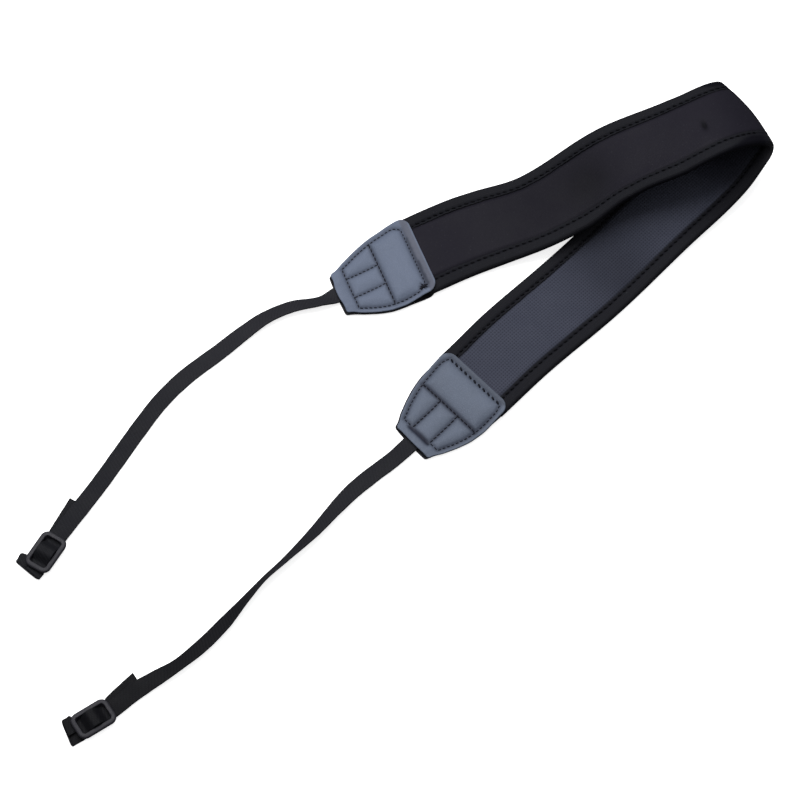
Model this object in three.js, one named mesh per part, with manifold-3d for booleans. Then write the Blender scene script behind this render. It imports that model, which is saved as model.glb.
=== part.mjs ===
// A padded neck strap for binoculars, laid on a surface with its neck pad folded over in a loose loop.
// Millimetres, +Z up, the surface at z = 0. +X runs along the middle line of the fold towards its nose,
// and +Y runs along the fold. The lower leg carries the right-hand strap, the upper leg the left-hand one.
import * as THREE from 'three';
import { mergeVertices } from 'three/addons/utils/BufferGeometryUtils.js';
import Module from 'manifold-3d';

const wasm = await Module();
wasm.setup();

// Neck pad
const padLength = 438;            // between the wide edges of the two end tabs
const splay = 10.9;               // degrees that each leg swings away from the middle line
const padTuck = 22;               // pad hidden inside each tab
const padInset = 5;               // hidden edge of the pad inside the tab's outline
const tuckThickness = 0.55;       // share of the pad's thickness left at its hidden end
const padHalf = 2.5;              // half the thickness of the bound edge
const seamInset = 10;             // pad's own edge to the start of its full thickness
const slopeWidth = 3.5;           // from the pinched edge up to the full thickness
const edgeWall = 1.3;             // bound edge to the pad's own edge
const noseAt = 224;               // middle of the fold's nose along the pad
const noseReach = 60;             // how far along the pad the nose's edges draw back
const noseBow = 2.2;              // how far they draw back at the bound edges

// Heights of the layers through the pad, along its normal: full and under the binding
const coreLayer = { full: [-2.25, 0.9], pinched: [-1.35, 0.3] };
const liningLayer = { full: [1.15, 2.05], pinched: [0.55, 1.35] };

// Binding tape, a U round each long edge
const bindingWidth = 8.2;
const bindingInside = 1.6;        // half the gap between its two walls
const bindingTuckWall = 0.5;      // wall where it runs under a tab
const bindingTuck = 6.5;
const bindingTaper = 6;           // where its wall thins down on the way to a tab
const bindingEdge = 1;            // wall at the very edge
const bindingRound = 1.4;         // from the edge to where the tape starts to turn over it
const bindingShoulder = { inset: 0.35, height: 0.6 };  // on the turn, height as a share of the full one

// End tabs, an outer and an inner leatherette panel at each end
const tabLength = 54;
const tabWideCorner = 6;
const tabNarrowCorner = 1.6;
const tabWall = 1.25;
const tabRim = 0.9;               // wall at the panel's own edge
const tabSeamGap = 0.15;          // half the gap where the two panels meet
const tabClosed = 21;             // from the wide edge to where the sides have met
const tabThin = 31;               // from the wide edge to where only the webbing is left inside
const tabFlat = 0.66;             // share of the half-width that stays flat
const tabRamp = 32;               // length of pad that lifts off the surface to meet the tab
const tabSections = [8, 10.5, 13, 16, 20, 25, 30, 36, 42, 47];
const tabColumns = [-1, -0.88, -0.66, -0.33, 0, 0.33, 0.66, 0.88, 1];
const cornerSteps = [0, 0.08, 0.3, 0.62, 1];
const tuckSections = [0, 3.5, bindingTuck, 9.5, 13, 16];

// Webbing straps and their sliders
const webWidth = 10;
const webThick = 1.1;
const webTuck = 24;               // start of the webbing, from the tab's wide edge
const layerGap = 0.3;             // clearance between touching layers
const webStep = 7;                // longest step along a strap
const webOverBar = {              // reach of each hump over the slider's bar, its level crest and its height
  main: { reach: 6.9, crest: 1.1, height: 6.8 },
  tail: { reach: 5.6, crest: 1.2, height: 5.25 },
};
const loopSkew = 9.5;             // degrees that the end of the loop turns away from square
const loopSteps = 7;              // sections round the end of the loop
const loopSlide = { from: 0.25, to: 0.75 };   // share of the turn in which one layer slides over the other
const loopRoot = { main: 10.4, tail: 8.6 };   // from the slider's bar to where each layer has drifted
const slideReach = { main: 8.5, tail: 5.8 };  // from the slider's bar to where each layer begins to drift
const slideExit = 8.5;
const slideEntry = 12;
const slideStep = 1.5;
const sliderLength = 22.8;
const sliderWidth = 15.6;
const sliderRail = 2.7;
const sliderCorner = 3.8;
const sliderWindowCorner = 1.2;
const sliderBase = 2.9;           // underside of the frame above the surface
const sliderThick = 2.5;
const sliderBevel = 0.5;
const barHalf = 1.3;              // half the width of the centre bar
const barThick = 1.1;

// Where the middle of the finished part's box lies in the frame that the tables below use
const boxMiddle = { x: -41.35, y: 22.93 };

const loopClear = 0.25;           // clearance between the stacked layers of the pad
const stationStep = 15;           // longest step along the pad
const stationGap = 0.5;           // shortest one
const stationTurn = 7.5;          // largest turn in degrees between two sections of the fold
const slantFrom = { lower: 20, upper: 30 };   // sections turn square to the pad this near to a tab
const slantFull = { lower: 110, upper: 140 };

// The fold seen along its own axis, from the lower leg over the loop to the upper leg
const foldRuns = [
  { run: 'lower leg', length: 98, turn: 0 },
  { run: 'lift', length: 60, turn: 6 },
  { run: 'rise', length: 55, turn: 20 },
  { run: 'nose', length: 16, turn: 121 },
  { run: 'crown', length: 36, turn: 52 },
  { run: 'descent', length: 0, turn: 0 },
  { run: 'landing', length: 85, turn: -19 },
  { run: 'upper leg', length: 300, turn: 0 },
];

// Sections along the pad: full width, tilt of the far edge towards the surface, sideways sway
const padSections = [
  { s: -55, width: 50.2, tilt: 0, sway: -1.7 },
  { s: 0, width: 50.2, tilt: 0, sway: -0.3 },
  { s: 32, width: 51, tilt: 0, sway: 1.2 },
  { s: 85, width: 51.8, tilt: 0, sway: 0 },
  { s: 145, width: 52, tilt: 0, sway: 1.4 },
  { s: 190, width: 52, tilt: 0, sway: 0.2 },
  { s: 222, width: 50.4, tilt: 0, sway: 1.6 },
  { s: 268, width: 52, tilt: 17, sway: -0.8 },
  { s: 317, width: 52, tilt: 5.5, sway: 1 },
  { s: 368, width: 51.2, tilt: 11, sway: -1.9 },
  { s: 396, width: 50.6, tilt: 3.8, sway: 0.7 },
  { s: 410, width: 50.4, tilt: 1.4, sway: 1.4 },
  { s: 438, width: 50, tilt: 0, sway: -0.6 },
  { s: 493, width: 50.2, tilt: 0, sway: -5.4 },
];

// A tab's outline: half its width at s from its wide edge
const tabOutline = [
  { s: 0, half: 24.4 },
  { s: 12, half: 24.4 },
  { s: 20, half: 24.1 },
  { s: 28, half: 22.9 },
  { s: 36, half: 20.5 },
  { s: 44, half: 17.2 },
  { s: 54, half: 13.2 },
];

// Each strap from its tab to its slider: place, roll that lifts the near edge, and height of what it lies on
const strapRoutes = {
  left: [
    { x: -48, y: 89.4, roll: 34, over: 0 },
    { x: -62, y: 95.2, roll: 26, over: 0 },
    { x: -78, y: 97.7, roll: 22, over: 0 },
    { x: -93, y: 96.8, roll: 12, over: 0 },
    { x: -110, y: 94.6, roll: 4, over: 0 },
    { x: -136, y: 91.5, roll: 0, over: 0 },
    { x: -155, y: 86.3, roll: 3, over: 0 },
    { x: -172, y: 79.2, roll: 3, over: 0 },
    { x: -196, y: 68.1, roll: 2, over: 0 },
    { x: -211, y: 61.1, roll: 3, over: 0.5 },
    { x: -225, y: 55.1, roll: 0, over: 1.4 },
  ],
  right: [
    { x: -66, y: -14.2, roll: 7, over: 0.3 },
    { x: -82, y: -15.8, roll: 6, over: 0 },
    { x: -96, y: -18.2, roll: 12, over: 0 },
    { x: -110, y: -22.4, roll: 27, over: 0 },
    { x: -126, y: -27.6, roll: 40, over: 0 },
    { x: -148, y: -33, roll: 58, over: 0 },
    { x: -164, y: -36.2, roll: 62, over: 0 },
    { x: -180, y: -41, roll: 52, over: 0 },
    { x: -195, y: -45.6, roll: 32, over: 0 },
    { x: -211, y: -49.6, roll: 27, over: 0 },
    { x: -228, y: -52.1, roll: 32, over: 0 },
    { x: -242, y: -52, roll: 14, over: 0.7 },
    { x: -254, y: -52, roll: 0, over: 1.4 },
  ],
};

// Each slider: place, heading of its long axis towards the tab, and the end loop of the webbing beyond it,
// whose two layers drift apart sideways
const sliderSeats = {
  left: {
    x: -254.4, y: 42.3, heading: 25.6, loopEnd: -14.6, loopHeight: 2.6, loopTop: -0.6, loopBottom: 7.2,
  },
  right: {
    x: -282.1, y: -53.9, heading: -0.3, loopEnd: -16.4, loopHeight: 3, loopTop: 4.2, loopBottom: -1.2,
  },
};

// The free tails, from each slider's middle along and across its long axis
const tailRoutes = {
  left: [
    { along: 11.4, across: 1.2 },
    { along: 15.9, across: 1.7 },
    { along: 24.9, across: 2.2 },
    { along: 34.4, across: 2.6 },
  ],
  right: [
    { along: 11.4, across: 2.6 },
    { along: 15.9, across: 3.9 },
    { along: 22.9, across: 5.5 },
    { along: 31.4, across: 7.3 },
  ],
};

const finishes = {
  neck_pad: { color: 0x24232b, roughness: 0.85 },
  mesh_lining: { color: 0x3d414b, roughness: 0.9 },
  binding: { color: 0x1b1b1f, roughness: 0.8 },
  tab: { color: 0x6d7686, roughness: 0.6 },
  strap: { color: 0x1d1d21, roughness: 0.8 },
  slider: { color: 0x3c3d42, roughness: 0.45 },
};

const radians = THREE.MathUtils.degToRad;
const smoothstep = THREE.MathUtils.smoothstep;
const lerp = THREE.MathUtils.lerp;

// The descent is as long as it takes for the upper leg to come down to the surface
function closeFold(runs) {
  let pitch = 0;
  let height = 0;
  for (const { run, length, turn } of runs) {
    const before = pitch;
    pitch += radians(turn);
    if (turn !== 0) height += (length / radians(turn)) * (Math.cos(before) - Math.cos(pitch));
    if (run === 'crown') runs.find((row) => row.run === 'descent').slope = pitch;
  }
  const descent = runs.find((row) => row.run === 'descent');
  descent.length = -height / Math.sin(descent.slope);
}
closeFold(foldRuns);

// Place and pitch on the fold's profile at the distance u along it
function foldAt(u) {
  let start = 0;
  let x = 0;
  let z = 0;
  let pitch = 0;
  for (const [index, { length, turn }] of foldRuns.entries()) {
    const last = index === foldRuns.length - 1;
    const step = u > start + length && !last ? length : u - start;
    const bend = (radians(turn) * step) / length;
    if (turn === 0) {
      x += step * Math.cos(pitch);
      z += step * Math.sin(pitch);
    } else {
      const radius = length / radians(turn);
      x += radius * (Math.sin(pitch + bend) - Math.sin(pitch));
      z += radius * (Math.cos(pitch) - Math.cos(pitch + bend));
    }
    pitch += bend;
    if (step < length || last) return { x, z, pitch };
    start += length;
  }
}

// A table's column at s, by cubics whose slopes never overshoot the rows
function columnAt(rows, key, s) {
  const slopeAt = (i) => (rows[i + 1][key] - rows[i][key]) / (rows[i + 1].s - rows[i].s);
  const tangentAt = (i) => {
    if (i === 0 || i === rows.length - 1) return 0;
    const before = slopeAt(i - 1);
    const after = slopeAt(i);
    return before * after <= 0 ? 0 : (2 * before * after) / (before + after);
  };
  let i = rows.findIndex((row) => row.s > s) - 1;
  if (i < 0) i = s < rows[0].s ? 0 : rows.length - 2;
  const span = rows[i + 1].s - rows[i].s;
  const x = THREE.MathUtils.clamp((s - rows[i].s) / span, 0, 1);
  const bend = x * x * (3 - 2 * x);
  return lerp(rows[i][key], rows[i + 1][key], bend)
    + span * x * (1 - x) * ((1 - x) * tangentAt(i) - x * tangentAt(i + 1));
}

// Distance into the tab from its wide edge, negative on the open pad
const tabDepth = (s) => Math.max(-s, s - padLength);

// How much thinner the pad gets inside a tab
const tuckThinning = (p) => lerp(1, tuckThickness, THREE.MathUtils.clamp(p / padTuck, 0, 1));

// Inner face of a tab panel above the strap's middle plane: p from the wide edge, x across from -1 to 1
function tabInside(p, x) {
  const layers = -coreLayer.full[0] * tuckThinning(p) + loopClear;
  const webbing = webThick / 2 + layerGap;
  const middle = lerp(layers, webbing, smoothstep(p, padTuck, tabThin));
  const side = lerp(middle, tabSeamGap, smoothstep(Math.abs(x), tabFlat, 1));
  const open = bindingInside + bindingTuckWall + layerGap;
  return lerp(open, side, smoothstep(p, bindingTuck, tabClosed));
}

// Height of the strap's middle plane above what it lies on
function restHeight(s) {
  const p = tabDepth(s);
  if (p >= 0) return tabInside(p, 0) + tabWall;
  return lerp(padHalf, tabInside(0, 0) + tabWall, smoothstep(p, -tabRamp, 0));
}

// Point of the folded strap: s along it, t across it towards the far edge, n through it towards the lining
function place(s, t, n) {
  const tilt = radians(columnAt(padSections, 'tilt', s));
  const across = t * Math.cos(tilt) - n * Math.sin(tilt);
  const through = t * Math.sin(tilt) + n * Math.cos(tilt);
  const swing = radians(splay);
  const { x, z, pitch } = foldAt(s * Math.cos(swing) - across * Math.sin(swing));
  const nose = 1 - smoothstep(Math.abs(s - noseAt), 0, noseReach);
  const bow = noseBow * nose * (t / padHalfWidth(s)) ** 2;
  return new THREE.Vector3(
    x - bow - through * Math.sin(pitch),
    s * Math.sin(swing) + across * Math.cos(swing) + columnAt(padSections, 'sway', s),
    z + through * Math.cos(pitch) + restHeight(s),
  );
}

const padHalfWidth = (s) => columnAt(padSections, 'width', s) / 2;

// Half-width of a tab at p from its wide edge, with its corners rounded
function tabHalfWidth(p) {
  const corner = (r, d) => r - Math.sqrt(r ** 2 - Math.max(r - d, 0) ** 2);
  return columnAt(tabOutline, 'half', p) - corner(tabWideCorner, p) - corner(tabNarrowCorner, tabLength - p);
}

// Sections of the pad between two places along it, closer together where the fold bends
function padStations(from, to) {
  const stations = [from, to, ...tuckSections.map((p) => -p), ...tuckSections.map((p) => padLength + p)];
  let u = 0;
  for (const { length, turn } of foldRuns) {
    const steps = Math.ceil(Math.max(length / stationStep, Math.abs(turn) / stationTurn));
    for (let k = 0; k < steps; k += 1) stations.push((u + (k * length) / steps) / Math.cos(radians(splay)));
    u += length;
  }
  const inside = stations.filter((s) => s >= from && s <= to).sort((a, b) => a - b);
  return inside.filter((s, i) => i === 0 || s - inside[i - 1] > stationGap);
}

// Closed solid through matching rings of points, capped at both ends, split along the shorter diagonals
function skin(rings, outline) {
  const count = rings[0].length;
  const points = rings.flat();
  const faces = [];
  for (let r = 0; r + 1 < rings.length; r += 1) {
    for (let k = 0; k < count; k += 1) {
      const a = r * count + k;
      const b = r * count + ((k + 1) % count);
      const [c, d] = [a + count, b + count];
      const split = points[a].distanceTo(points[d]) < points[b].distanceTo(points[c]);
      if (split) faces.push([a, b, d], [a, d, c]);
      else faces.push([a, b, c], [b, d, c]);
    }
  }
  const lastRing = (rings.length - 1) * count;
  for (const cap of THREE.ShapeUtils.triangulateShape(outline, [])) {
    const [a, b, c] = THREE.ShapeUtils.isClockWise(outline) ? cap.reverse() : cap;
    faces.push([c, b, a], [a + lastRing, b + lastRing, c + lastRing]);
  }
  let volume = 0;
  for (const [a, b, c] of faces) {
    volume += points[a].dot(new THREE.Vector3().crossVectors(points[b], points[c]));
  }
  const turned = volume < 0 ? faces.map(([a, b, c]) => [a, c, b]) : faces;
  const geometry = new THREE.BufferGeometry().setFromPoints(points);
  geometry.setIndex(turned.flat());
  geometry.computeVertexNormals();
  return geometry;
}

// Slant of a section along the pad: square to it at the tabs, along the fold's own axis in the loop
function slantAt(s) {
  const lower = smoothstep(s, slantFrom.lower, slantFull.lower);
  const upper = smoothstep(padLength - s, slantFrom.upper, slantFull.upper);
  return lower * upper * Math.tan(radians(splay));
}

// Solid along the strap from a section of [t, n] points at each station
function loft(stations, sectionAt) {
  const rings = stations.map((station) => sectionAt(station).map((_, k) => {
    let s = station;
    for (let pass = 0; pass < 3; pass += 1) s = station + slantAt(station) * sectionAt(s)[k][0];
    return place(s, ...sectionAt(s)[k]);
  }));
  const outline = sectionAt(stations[0]).map(([t, n]) => new THREE.Vector2(t, n));
  return skin(rings, outline);
}

// One layer of the pad, full in the middle and pinched under the binding
function padLayer({ full, pinched }) {
  const sectionAt = (s) => {
    const p = tabDepth(s);
    const thin = tuckThinning(p);
    const open = padHalfWidth(s) - edgeWall;
    const tucked = p > 0 ? lerp(open, tabHalfWidth(p) - padInset, smoothstep(p, 0, bindingTuck)) : open;
    const edge = Math.min(open, tucked);
    const columns = [-edge, seamInset - slopeWidth - edge, seamInset - edge];
    const across = [...columns, ...columns.map((t) => -t).reverse()];
    const level = (k, face) => (k > 1 && k < 4 ? full : pinched)[face] * thin;
    const bottom = across.map((t, k) => [t, level(k, 0)]);
    const top = across.map((t, k) => [t, level(k, 1)]).reverse();
    return [...bottom, ...top];
  };
  return loft(padStations(-padTuck, padLength + padTuck), sectionAt);
}

// Binding tape round one long edge, far (+1) or near (-1)
function bindingTape(edgeSide) {
  const sectionAt = (s) => {
    const edge = padHalfWidth(s);
    const p = tabDepth(s);
    const wall = lerp(padHalf - bindingInside, bindingTuckWall, smoothstep(p, -bindingTaper, 0));
    const outside = bindingInside + wall;
    const half = [
      [edge - bindingWidth, bindingInside],
      [edge - bindingWidth, outside],
      [edge - bindingRound, outside],
      [edge - bindingShoulder.inset, bindingShoulder.height * outside],
    ];
    const outer = [...half, [edge, 0], ...half.map(([t, n]) => [t, -n]).reverse()];
    const inner = [[edge - bindingEdge, -bindingInside], [edge - bindingEdge, bindingInside]];
    return [...outer, ...inner].map(([t, n]) => [edgeSide * t, n]);
  };
  return loft(padStations(-bindingTuck, padLength + bindingTuck), sectionAt);
}

// One leatherette panel of an end tab, on the lining side (+1) or the outer side (-1)
function tabPanel(end, face) {
  const depths = [
    ...cornerSteps.map((k) => k * tabWideCorner),
    ...tabSections,
    ...cornerSteps.map((k) => tabLength - k * tabNarrowCorner).reverse(),
  ];
  const wallAt = (x) => (Math.abs(x) === 1 ? tabRim : tabWall);
  const rings = depths.map((p) => {
    const s = end === 'left' ? padLength + p : -p;
    const t = (x) => x * tabHalfWidth(p);
    const inside = tabColumns.map((x) => place(s, t(x), face * tabInside(p, x)));
    const outside = tabColumns.map((x) => place(s, t(x), face * (tabInside(p, x) + wallAt(x))));
    return [...inside, ...outside.reverse()];
  });
  const lower = tabColumns.map((x) => new THREE.Vector2(x, 0));
  const upper = tabColumns.map((x) => new THREE.Vector2(x, 1)).reverse();
  return skin(rings, [...lower, ...upper]);
}

// Height of a layer of webbing that climbs from low over the slider's centre bar
function overBar({ reach, crest, height }, low, along) {
  return lerp(height, low, smoothstep(Math.abs(along), crest, reach));
}

// The webbing's way through its slider, round the end loop, back and out to the cut end of the tail
function sliderWay(end) {
  const seat = sliderSeats[end];
  const bottom = webThick / 2;
  const top = bottom + webThick + layerGap;
  const way = [];
  for (let along = slideEntry; along >= -slideReach.main; along -= slideStep) {
    way.push({ along, across: 0, up: overBar(webOverBar.main, top, along), turned: 0 });
  }
  const radius = (seat.loopHeight - bottom) / 2;
  const turnAt = seat.loopEnd + radius + webThick / 2;
  const halfway = (turnAt - sliderLength / 2) / 2;
  const underFrame = (root, across, up) => way.push({ along: -root, across, up, turned: 0.5 });
  const pastFrame = (across, up) => way.push({ along: halfway, across, up, turned: 1 });
  underFrame(loopRoot.main, seat.loopTop, top);
  pastFrame(seat.loopTop, lerp(top, seat.loopHeight, 0.5));
  for (let k = 0; k < loopSteps; k += 1) {
    const share = k / (loopSteps - 1);
    const slid = smoothstep(share, loopSlide.from, loopSlide.to);
    way.push({
      along: turnAt - radius * Math.sin(Math.PI * share),
      across: lerp(seat.loopTop, seat.loopBottom, slid),
      up: bottom + radius * (1 + Math.cos(Math.PI * share)),
      turned: 1,
    });
  }
  pastFrame(seat.loopBottom, bottom);
  underFrame(loopRoot.tail, seat.loopBottom, bottom);
  for (let along = -slideReach.tail; along <= slideExit; along += slideStep) {
    way.push({ along, across: 0, up: overBar(webOverBar.tail, bottom, along), turned: 0 });
  }
  for (const { along, across } of tailRoutes[end]) way.push({ along, across, up: bottom, turned: 0 });
  return way;
}

// A webbing strap: out of its tab, along the surface, through the slider and back as the tail
function webbing(end) {
  const seat = sliderSeats[end];
  const heading = radians(seat.heading);
  const inTab = [0, 1 / 3, 2 / 3, 1].map((share) => {
    const p = lerp(webTuck, tabLength, share);
    const s = end === 'left' ? padLength + p : -p;
    const at = place(s, 0, 0);
    const side = place(s, 1, 0).sub(at);
    return { at, side };
  });
  const rows = strapRoutes[end];
  const onSurface = rows.map(({ x, y, roll, over }, i) => {
    const before = rows[Math.max(i - 1, 0)];
    const after = rows[Math.min(i + 1, rows.length - 1)];
    const way = new THREE.Vector2(before.x - after.x, before.y - after.y).normalize();
    const lift = radians(roll);
    const rest = (webWidth / 2) * Math.sin(lift) + (webThick / 2) * Math.cos(lift);
    return {
      at: new THREE.Vector3(x, y, rest + over),
      side: new THREE.Vector3(-way.y * Math.cos(lift), way.x * Math.cos(lift), -Math.sin(lift)),
    };
  });
  const inSlider = sliderWay(end).map(({ along, across, up, turned }) => {
    const skew = radians(loopSkew * turned);
    const drawn = along + across * Math.tan(skew);
    return {
      at: new THREE.Vector3(
        seat.x + drawn * Math.cos(heading) - across * Math.sin(heading),
        seat.y + drawn * Math.sin(heading) + across * Math.cos(heading),
        up,
      ),
      side: new THREE.Vector3(-Math.sin(heading - skew), Math.cos(heading - skew), 0),
    };
  });
  return ribbon([...inTab, ...onSurface, ...inSlider]);
}

// Flat band through a row of places, each with the direction of its width, lying on the surface or above it
function ribbon(route) {
  const path = new THREE.CatmullRomCurve3(route.map(({ at }) => at));
  const sides = new THREE.CatmullRomCurve3(route.map(({ side }) => side.clone()));
  const places = [0];
  for (let i = 0; i + 1 < route.length; i += 1) {
    const steps = Math.ceil(route[i].at.distanceTo(route[i + 1].at) / webStep);
    for (let k = 1; k <= steps; k += 1) places.push((i + k / steps) / (route.length - 1));
  }
  const corners = [[-1, -1], [1, -1], [1, 1], [-1, 1]];
  const rings = places.map((u) => {
    const middle = path.getPoint(u);
    const along = path.getTangent(u);
    const side = sides.getPoint(u).normalize();
    const normal = new THREE.Vector3().crossVectors(along, side).normalize();
    const ring = corners.map(([a, b]) => middle.clone()
      .addScaledVector(side, (a * webWidth) / 2)
      .addScaledVector(normal, (b * webThick) / 2));
    const sunk = Math.min(0, ...ring.map((corner) => corner.z));
    return ring.map((corner) => corner.setZ(corner.z - sunk));
  });
  return skin(rings, corners.map(([a, b]) => new THREE.Vector2(a, b)));
}

// Rounded rectangle about the origin
function roundedRectangle(shape, length, width, radius) {
  const x = length / 2;
  const y = width / 2;
  shape.moveTo(x - radius, -y);
  shape.absarc(x - radius, radius - y, radius, -Math.PI / 2, 0);
  shape.absarc(x - radius, y - radius, radius, 0, Math.PI / 2);
  shape.absarc(radius - x, y - radius, radius, Math.PI / 2, Math.PI);
  shape.absarc(radius - x, radius - y, radius, Math.PI, 1.5 * Math.PI);
  return shape;
}

function solidOf(geometry) {
  const bare = geometry.clone();
  bare.deleteAttribute('normal');
  bare.deleteAttribute('uv');
  const merged = mergeVertices(bare);
  return new wasm.Manifold(new wasm.Mesh({
    numProp: 3,
    vertProperties: new Float32Array(merged.attributes.position.array),
    triVerts: new Uint32Array(merged.index.array),
  }));
}

function geometryOf(solid) {
  const { vertProperties, triVerts } = solid.getMesh();
  const geometry = new THREE.BufferGeometry();
  geometry.setAttribute('position', new THREE.BufferAttribute(vertProperties, 3));
  geometry.setIndex(new THREE.BufferAttribute(triVerts, 1));
  geometry.computeVertexNormals();
  return geometry;
}

// A slider: a rounded frame with a lower bar across its middle
function sliderFrame() {
  const inset = 2 * sliderBevel;
  const outline = new THREE.Shape();
  roundedRectangle(outline, sliderLength - inset, sliderWidth - inset, sliderCorner);
  const windowLength = sliderLength - 2 * sliderRail + inset;
  const windowWidth = sliderWidth - 2 * sliderRail + inset;
  outline.holes.push(roundedRectangle(new THREE.Path(), windowLength, windowWidth, sliderWindowCorner));
  const frame = new THREE.ExtrudeGeometry(outline, {
    depth: sliderThick - inset,
    curveSegments: 4,
    bevelThickness: sliderBevel,
    bevelSize: sliderBevel,
    bevelSegments: 1,
  });
  frame.translate(0, 0, sliderBevel);
  const bar = new THREE.BoxGeometry(2 * barHalf, sliderWidth - sliderRail, barThick);
  bar.translate(0, 0, barThick / 2 + sliderBevel / 2);
  return geometryOf(solidOf(frame).add(solidOf(bar)));
}

const strap = new THREE.Group();

function addPiece(name, geometry, finish) {
  const material = new THREE.MeshStandardMaterial({ ...finishes[finish], metalness: 0 });
  const mesh = new THREE.Mesh(geometry, material);
  mesh.name = name;
  strap.add(mesh);
  return mesh;
}

addPiece('neck_pad', padLayer(coreLayer), 'neck_pad');
addPiece('mesh_lining', padLayer(liningLayer), 'mesh_lining');
addPiece('binding_upper', bindingTape(1), 'binding');
addPiece('binding_lower', bindingTape(-1), 'binding');
for (const end of ['left', 'right']) {
  addPiece(`tab_${end}_outer`, tabPanel(end, -1), 'tab');
  addPiece(`tab_${end}_inner`, tabPanel(end, 1), 'tab');
  addPiece(`strap_${end}`, webbing(end), 'strap');
  const slider = addPiece(`slider_${end}`, sliderFrame(), 'slider');
  const seat = sliderSeats[end];
  slider.position.set(seat.x, seat.y, sliderBase);
  slider.rotation.z = radians(seat.heading);
}
strap.position.set(-boxMiddle.x, -boxMiddle.y, 0);

export default strap;
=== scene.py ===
import bpy
import bmesh
import math
import numpy as np
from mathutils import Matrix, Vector


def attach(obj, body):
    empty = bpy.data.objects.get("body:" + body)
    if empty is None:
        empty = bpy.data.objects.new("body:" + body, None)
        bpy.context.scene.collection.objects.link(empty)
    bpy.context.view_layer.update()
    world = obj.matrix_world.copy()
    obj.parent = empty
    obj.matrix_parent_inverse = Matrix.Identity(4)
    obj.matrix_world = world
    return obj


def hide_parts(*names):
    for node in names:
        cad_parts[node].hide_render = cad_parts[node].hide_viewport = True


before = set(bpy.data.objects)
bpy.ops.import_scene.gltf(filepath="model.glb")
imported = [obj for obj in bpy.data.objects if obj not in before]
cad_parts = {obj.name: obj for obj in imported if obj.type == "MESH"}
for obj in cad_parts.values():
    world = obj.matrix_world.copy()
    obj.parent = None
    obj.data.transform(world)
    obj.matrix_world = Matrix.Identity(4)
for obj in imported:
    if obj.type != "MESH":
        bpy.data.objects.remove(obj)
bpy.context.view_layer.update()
mm = 0.001
boxMiddle = np.array([-41.35, 22.93, 0.0])  # middle of the part's box in the frame of the tables below


def table(columns, *rows):  # rows of values under the names of their columns
    return [dict(zip(columns.split(), row)) for row in rows]


def keyed(columns, *rows):  # the same, with each row found by its first value
    return {row[0]: dict(zip(columns.split(), row[1:])) for row in rows}


# the fold seen along its own axis, from the lower leg over the loop to the upper leg
foldRuns = table(
    "run length turn",
    ("lower leg", 98, 0), ("lift", 60, 6), ("rise", 55, 20), ("nose", 16, 121),
    ("crown", 36, 52), ("descent", 0, 0), ("landing", 85, -19), ("upper leg", 300, 0),
)

# sections along the pad: full width, tilt of the far edge towards the surface, sideways sway
padRows = table(
    "s width tilt sway",
    (-55, 50.2, 0, -1.7), (0, 50.2, 0, -0.3), (32, 51, 0, 1.2), (85, 51.8, 0, 0), (145, 52, 0, 1.4),
    (190, 52, 0, 0.2), (222, 50.4, 0, 1.6), (268, 52, 17, -0.8), (317, 52, 5.5, 1), (368, 51.2, 11, -1.9),
    (396, 50.6, 3.8, 0.7), (410, 50.4, 1.4, 1.4), (438, 50, 0, -0.6), (493, 50.2, 0, -5.4),
)

# half the width of a tab at s from its wide edge
tabRows = table(
    "s half", (0, 24.4), (12, 24.4), (20, 24.1), (28, 22.9), (36, 20.5), (44, 17.2), (54, 13.2),
)

lay = {  # how the whole strap lies
    "padLength": 438, "splay": 10.9, "noseAt": 224, "noseReach": 60, "noseBow": 2.2,
    "edgeHalf": 2.5, "tabRamp": 32, "padTuck": 22, "padInset": 5, "tuckThickness": 0.55,
    "core": 2.25, "clear": 0.25, "tapeInside": 1.6, "tapeTuckWall": 0.5, "tapeTuck": 6.5,
    "layerGap": 0.3, "webThick": 1.1, "tabWall": 1.25, "tabSeamGap": 0.15, "tabClosed": 21,
    "tabThin": 31, "tabFlat": 0.66, "tabLength": 54, "wideCorner": 6, "narrowCorner": 1.6,
    "edgeDraw": 2.3, "edgeDrawAt": 312, "edgeDrawFade": (4, 34), "edgeDrawFrom": (8, 25),
}


def smoothstep(x, low, high):
    x = np.clip((np.asarray(x, float) - low) / (high - low), 0, 1)
    return x * x * (3 - 2 * x)


def lerp(a, b, x):
    return a + (b - a) * x


def bell(x, middle, reach):
    return np.exp(-((x - middle) / reach) ** 2)


def span(x, risen, fallen):  # up from 0 to 1 over the first pair, and down again over the second
    return smoothstep(x, *risen) * (1 - smoothstep(x, *fallen))


def walkAlong(points):  # distance walked to each of a row of points
    return np.concatenate([[0], np.cumsum(np.linalg.norm(np.diff(points, axis=0), axis=1))])


def waver(x, seed, length):  # smooth seeded wobble, about -1 to 1
    phases = np.random.default_rng(seed).uniform(0, 2 * np.pi, 5)
    shares = [1, 0.61, 0.37, 0.23, 0.147]
    waves = []
    for share, phase in zip(shares, phases):
        waves.append(math.sqrt(share) * np.sin(2 * np.pi * np.asarray(x) / (length * share) + phase))
    return sum(waves) / 1.9


def closeFold():  # the descent is as long as it takes for the upper leg to come down
    pitch, height, slope = 0.0, 0.0, 0.0
    for row in foldRuns:
        before = pitch
        pitch += math.radians(row["turn"])
        if row["turn"]:
            height += row["length"] / math.radians(row["turn"]) * (math.cos(before) - math.cos(pitch))
        if row["run"] == "crown":
            slope = pitch
    next(row for row in foldRuns if row["run"] == "descent")["length"] = -height / math.sin(slope)


closeFold()


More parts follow.
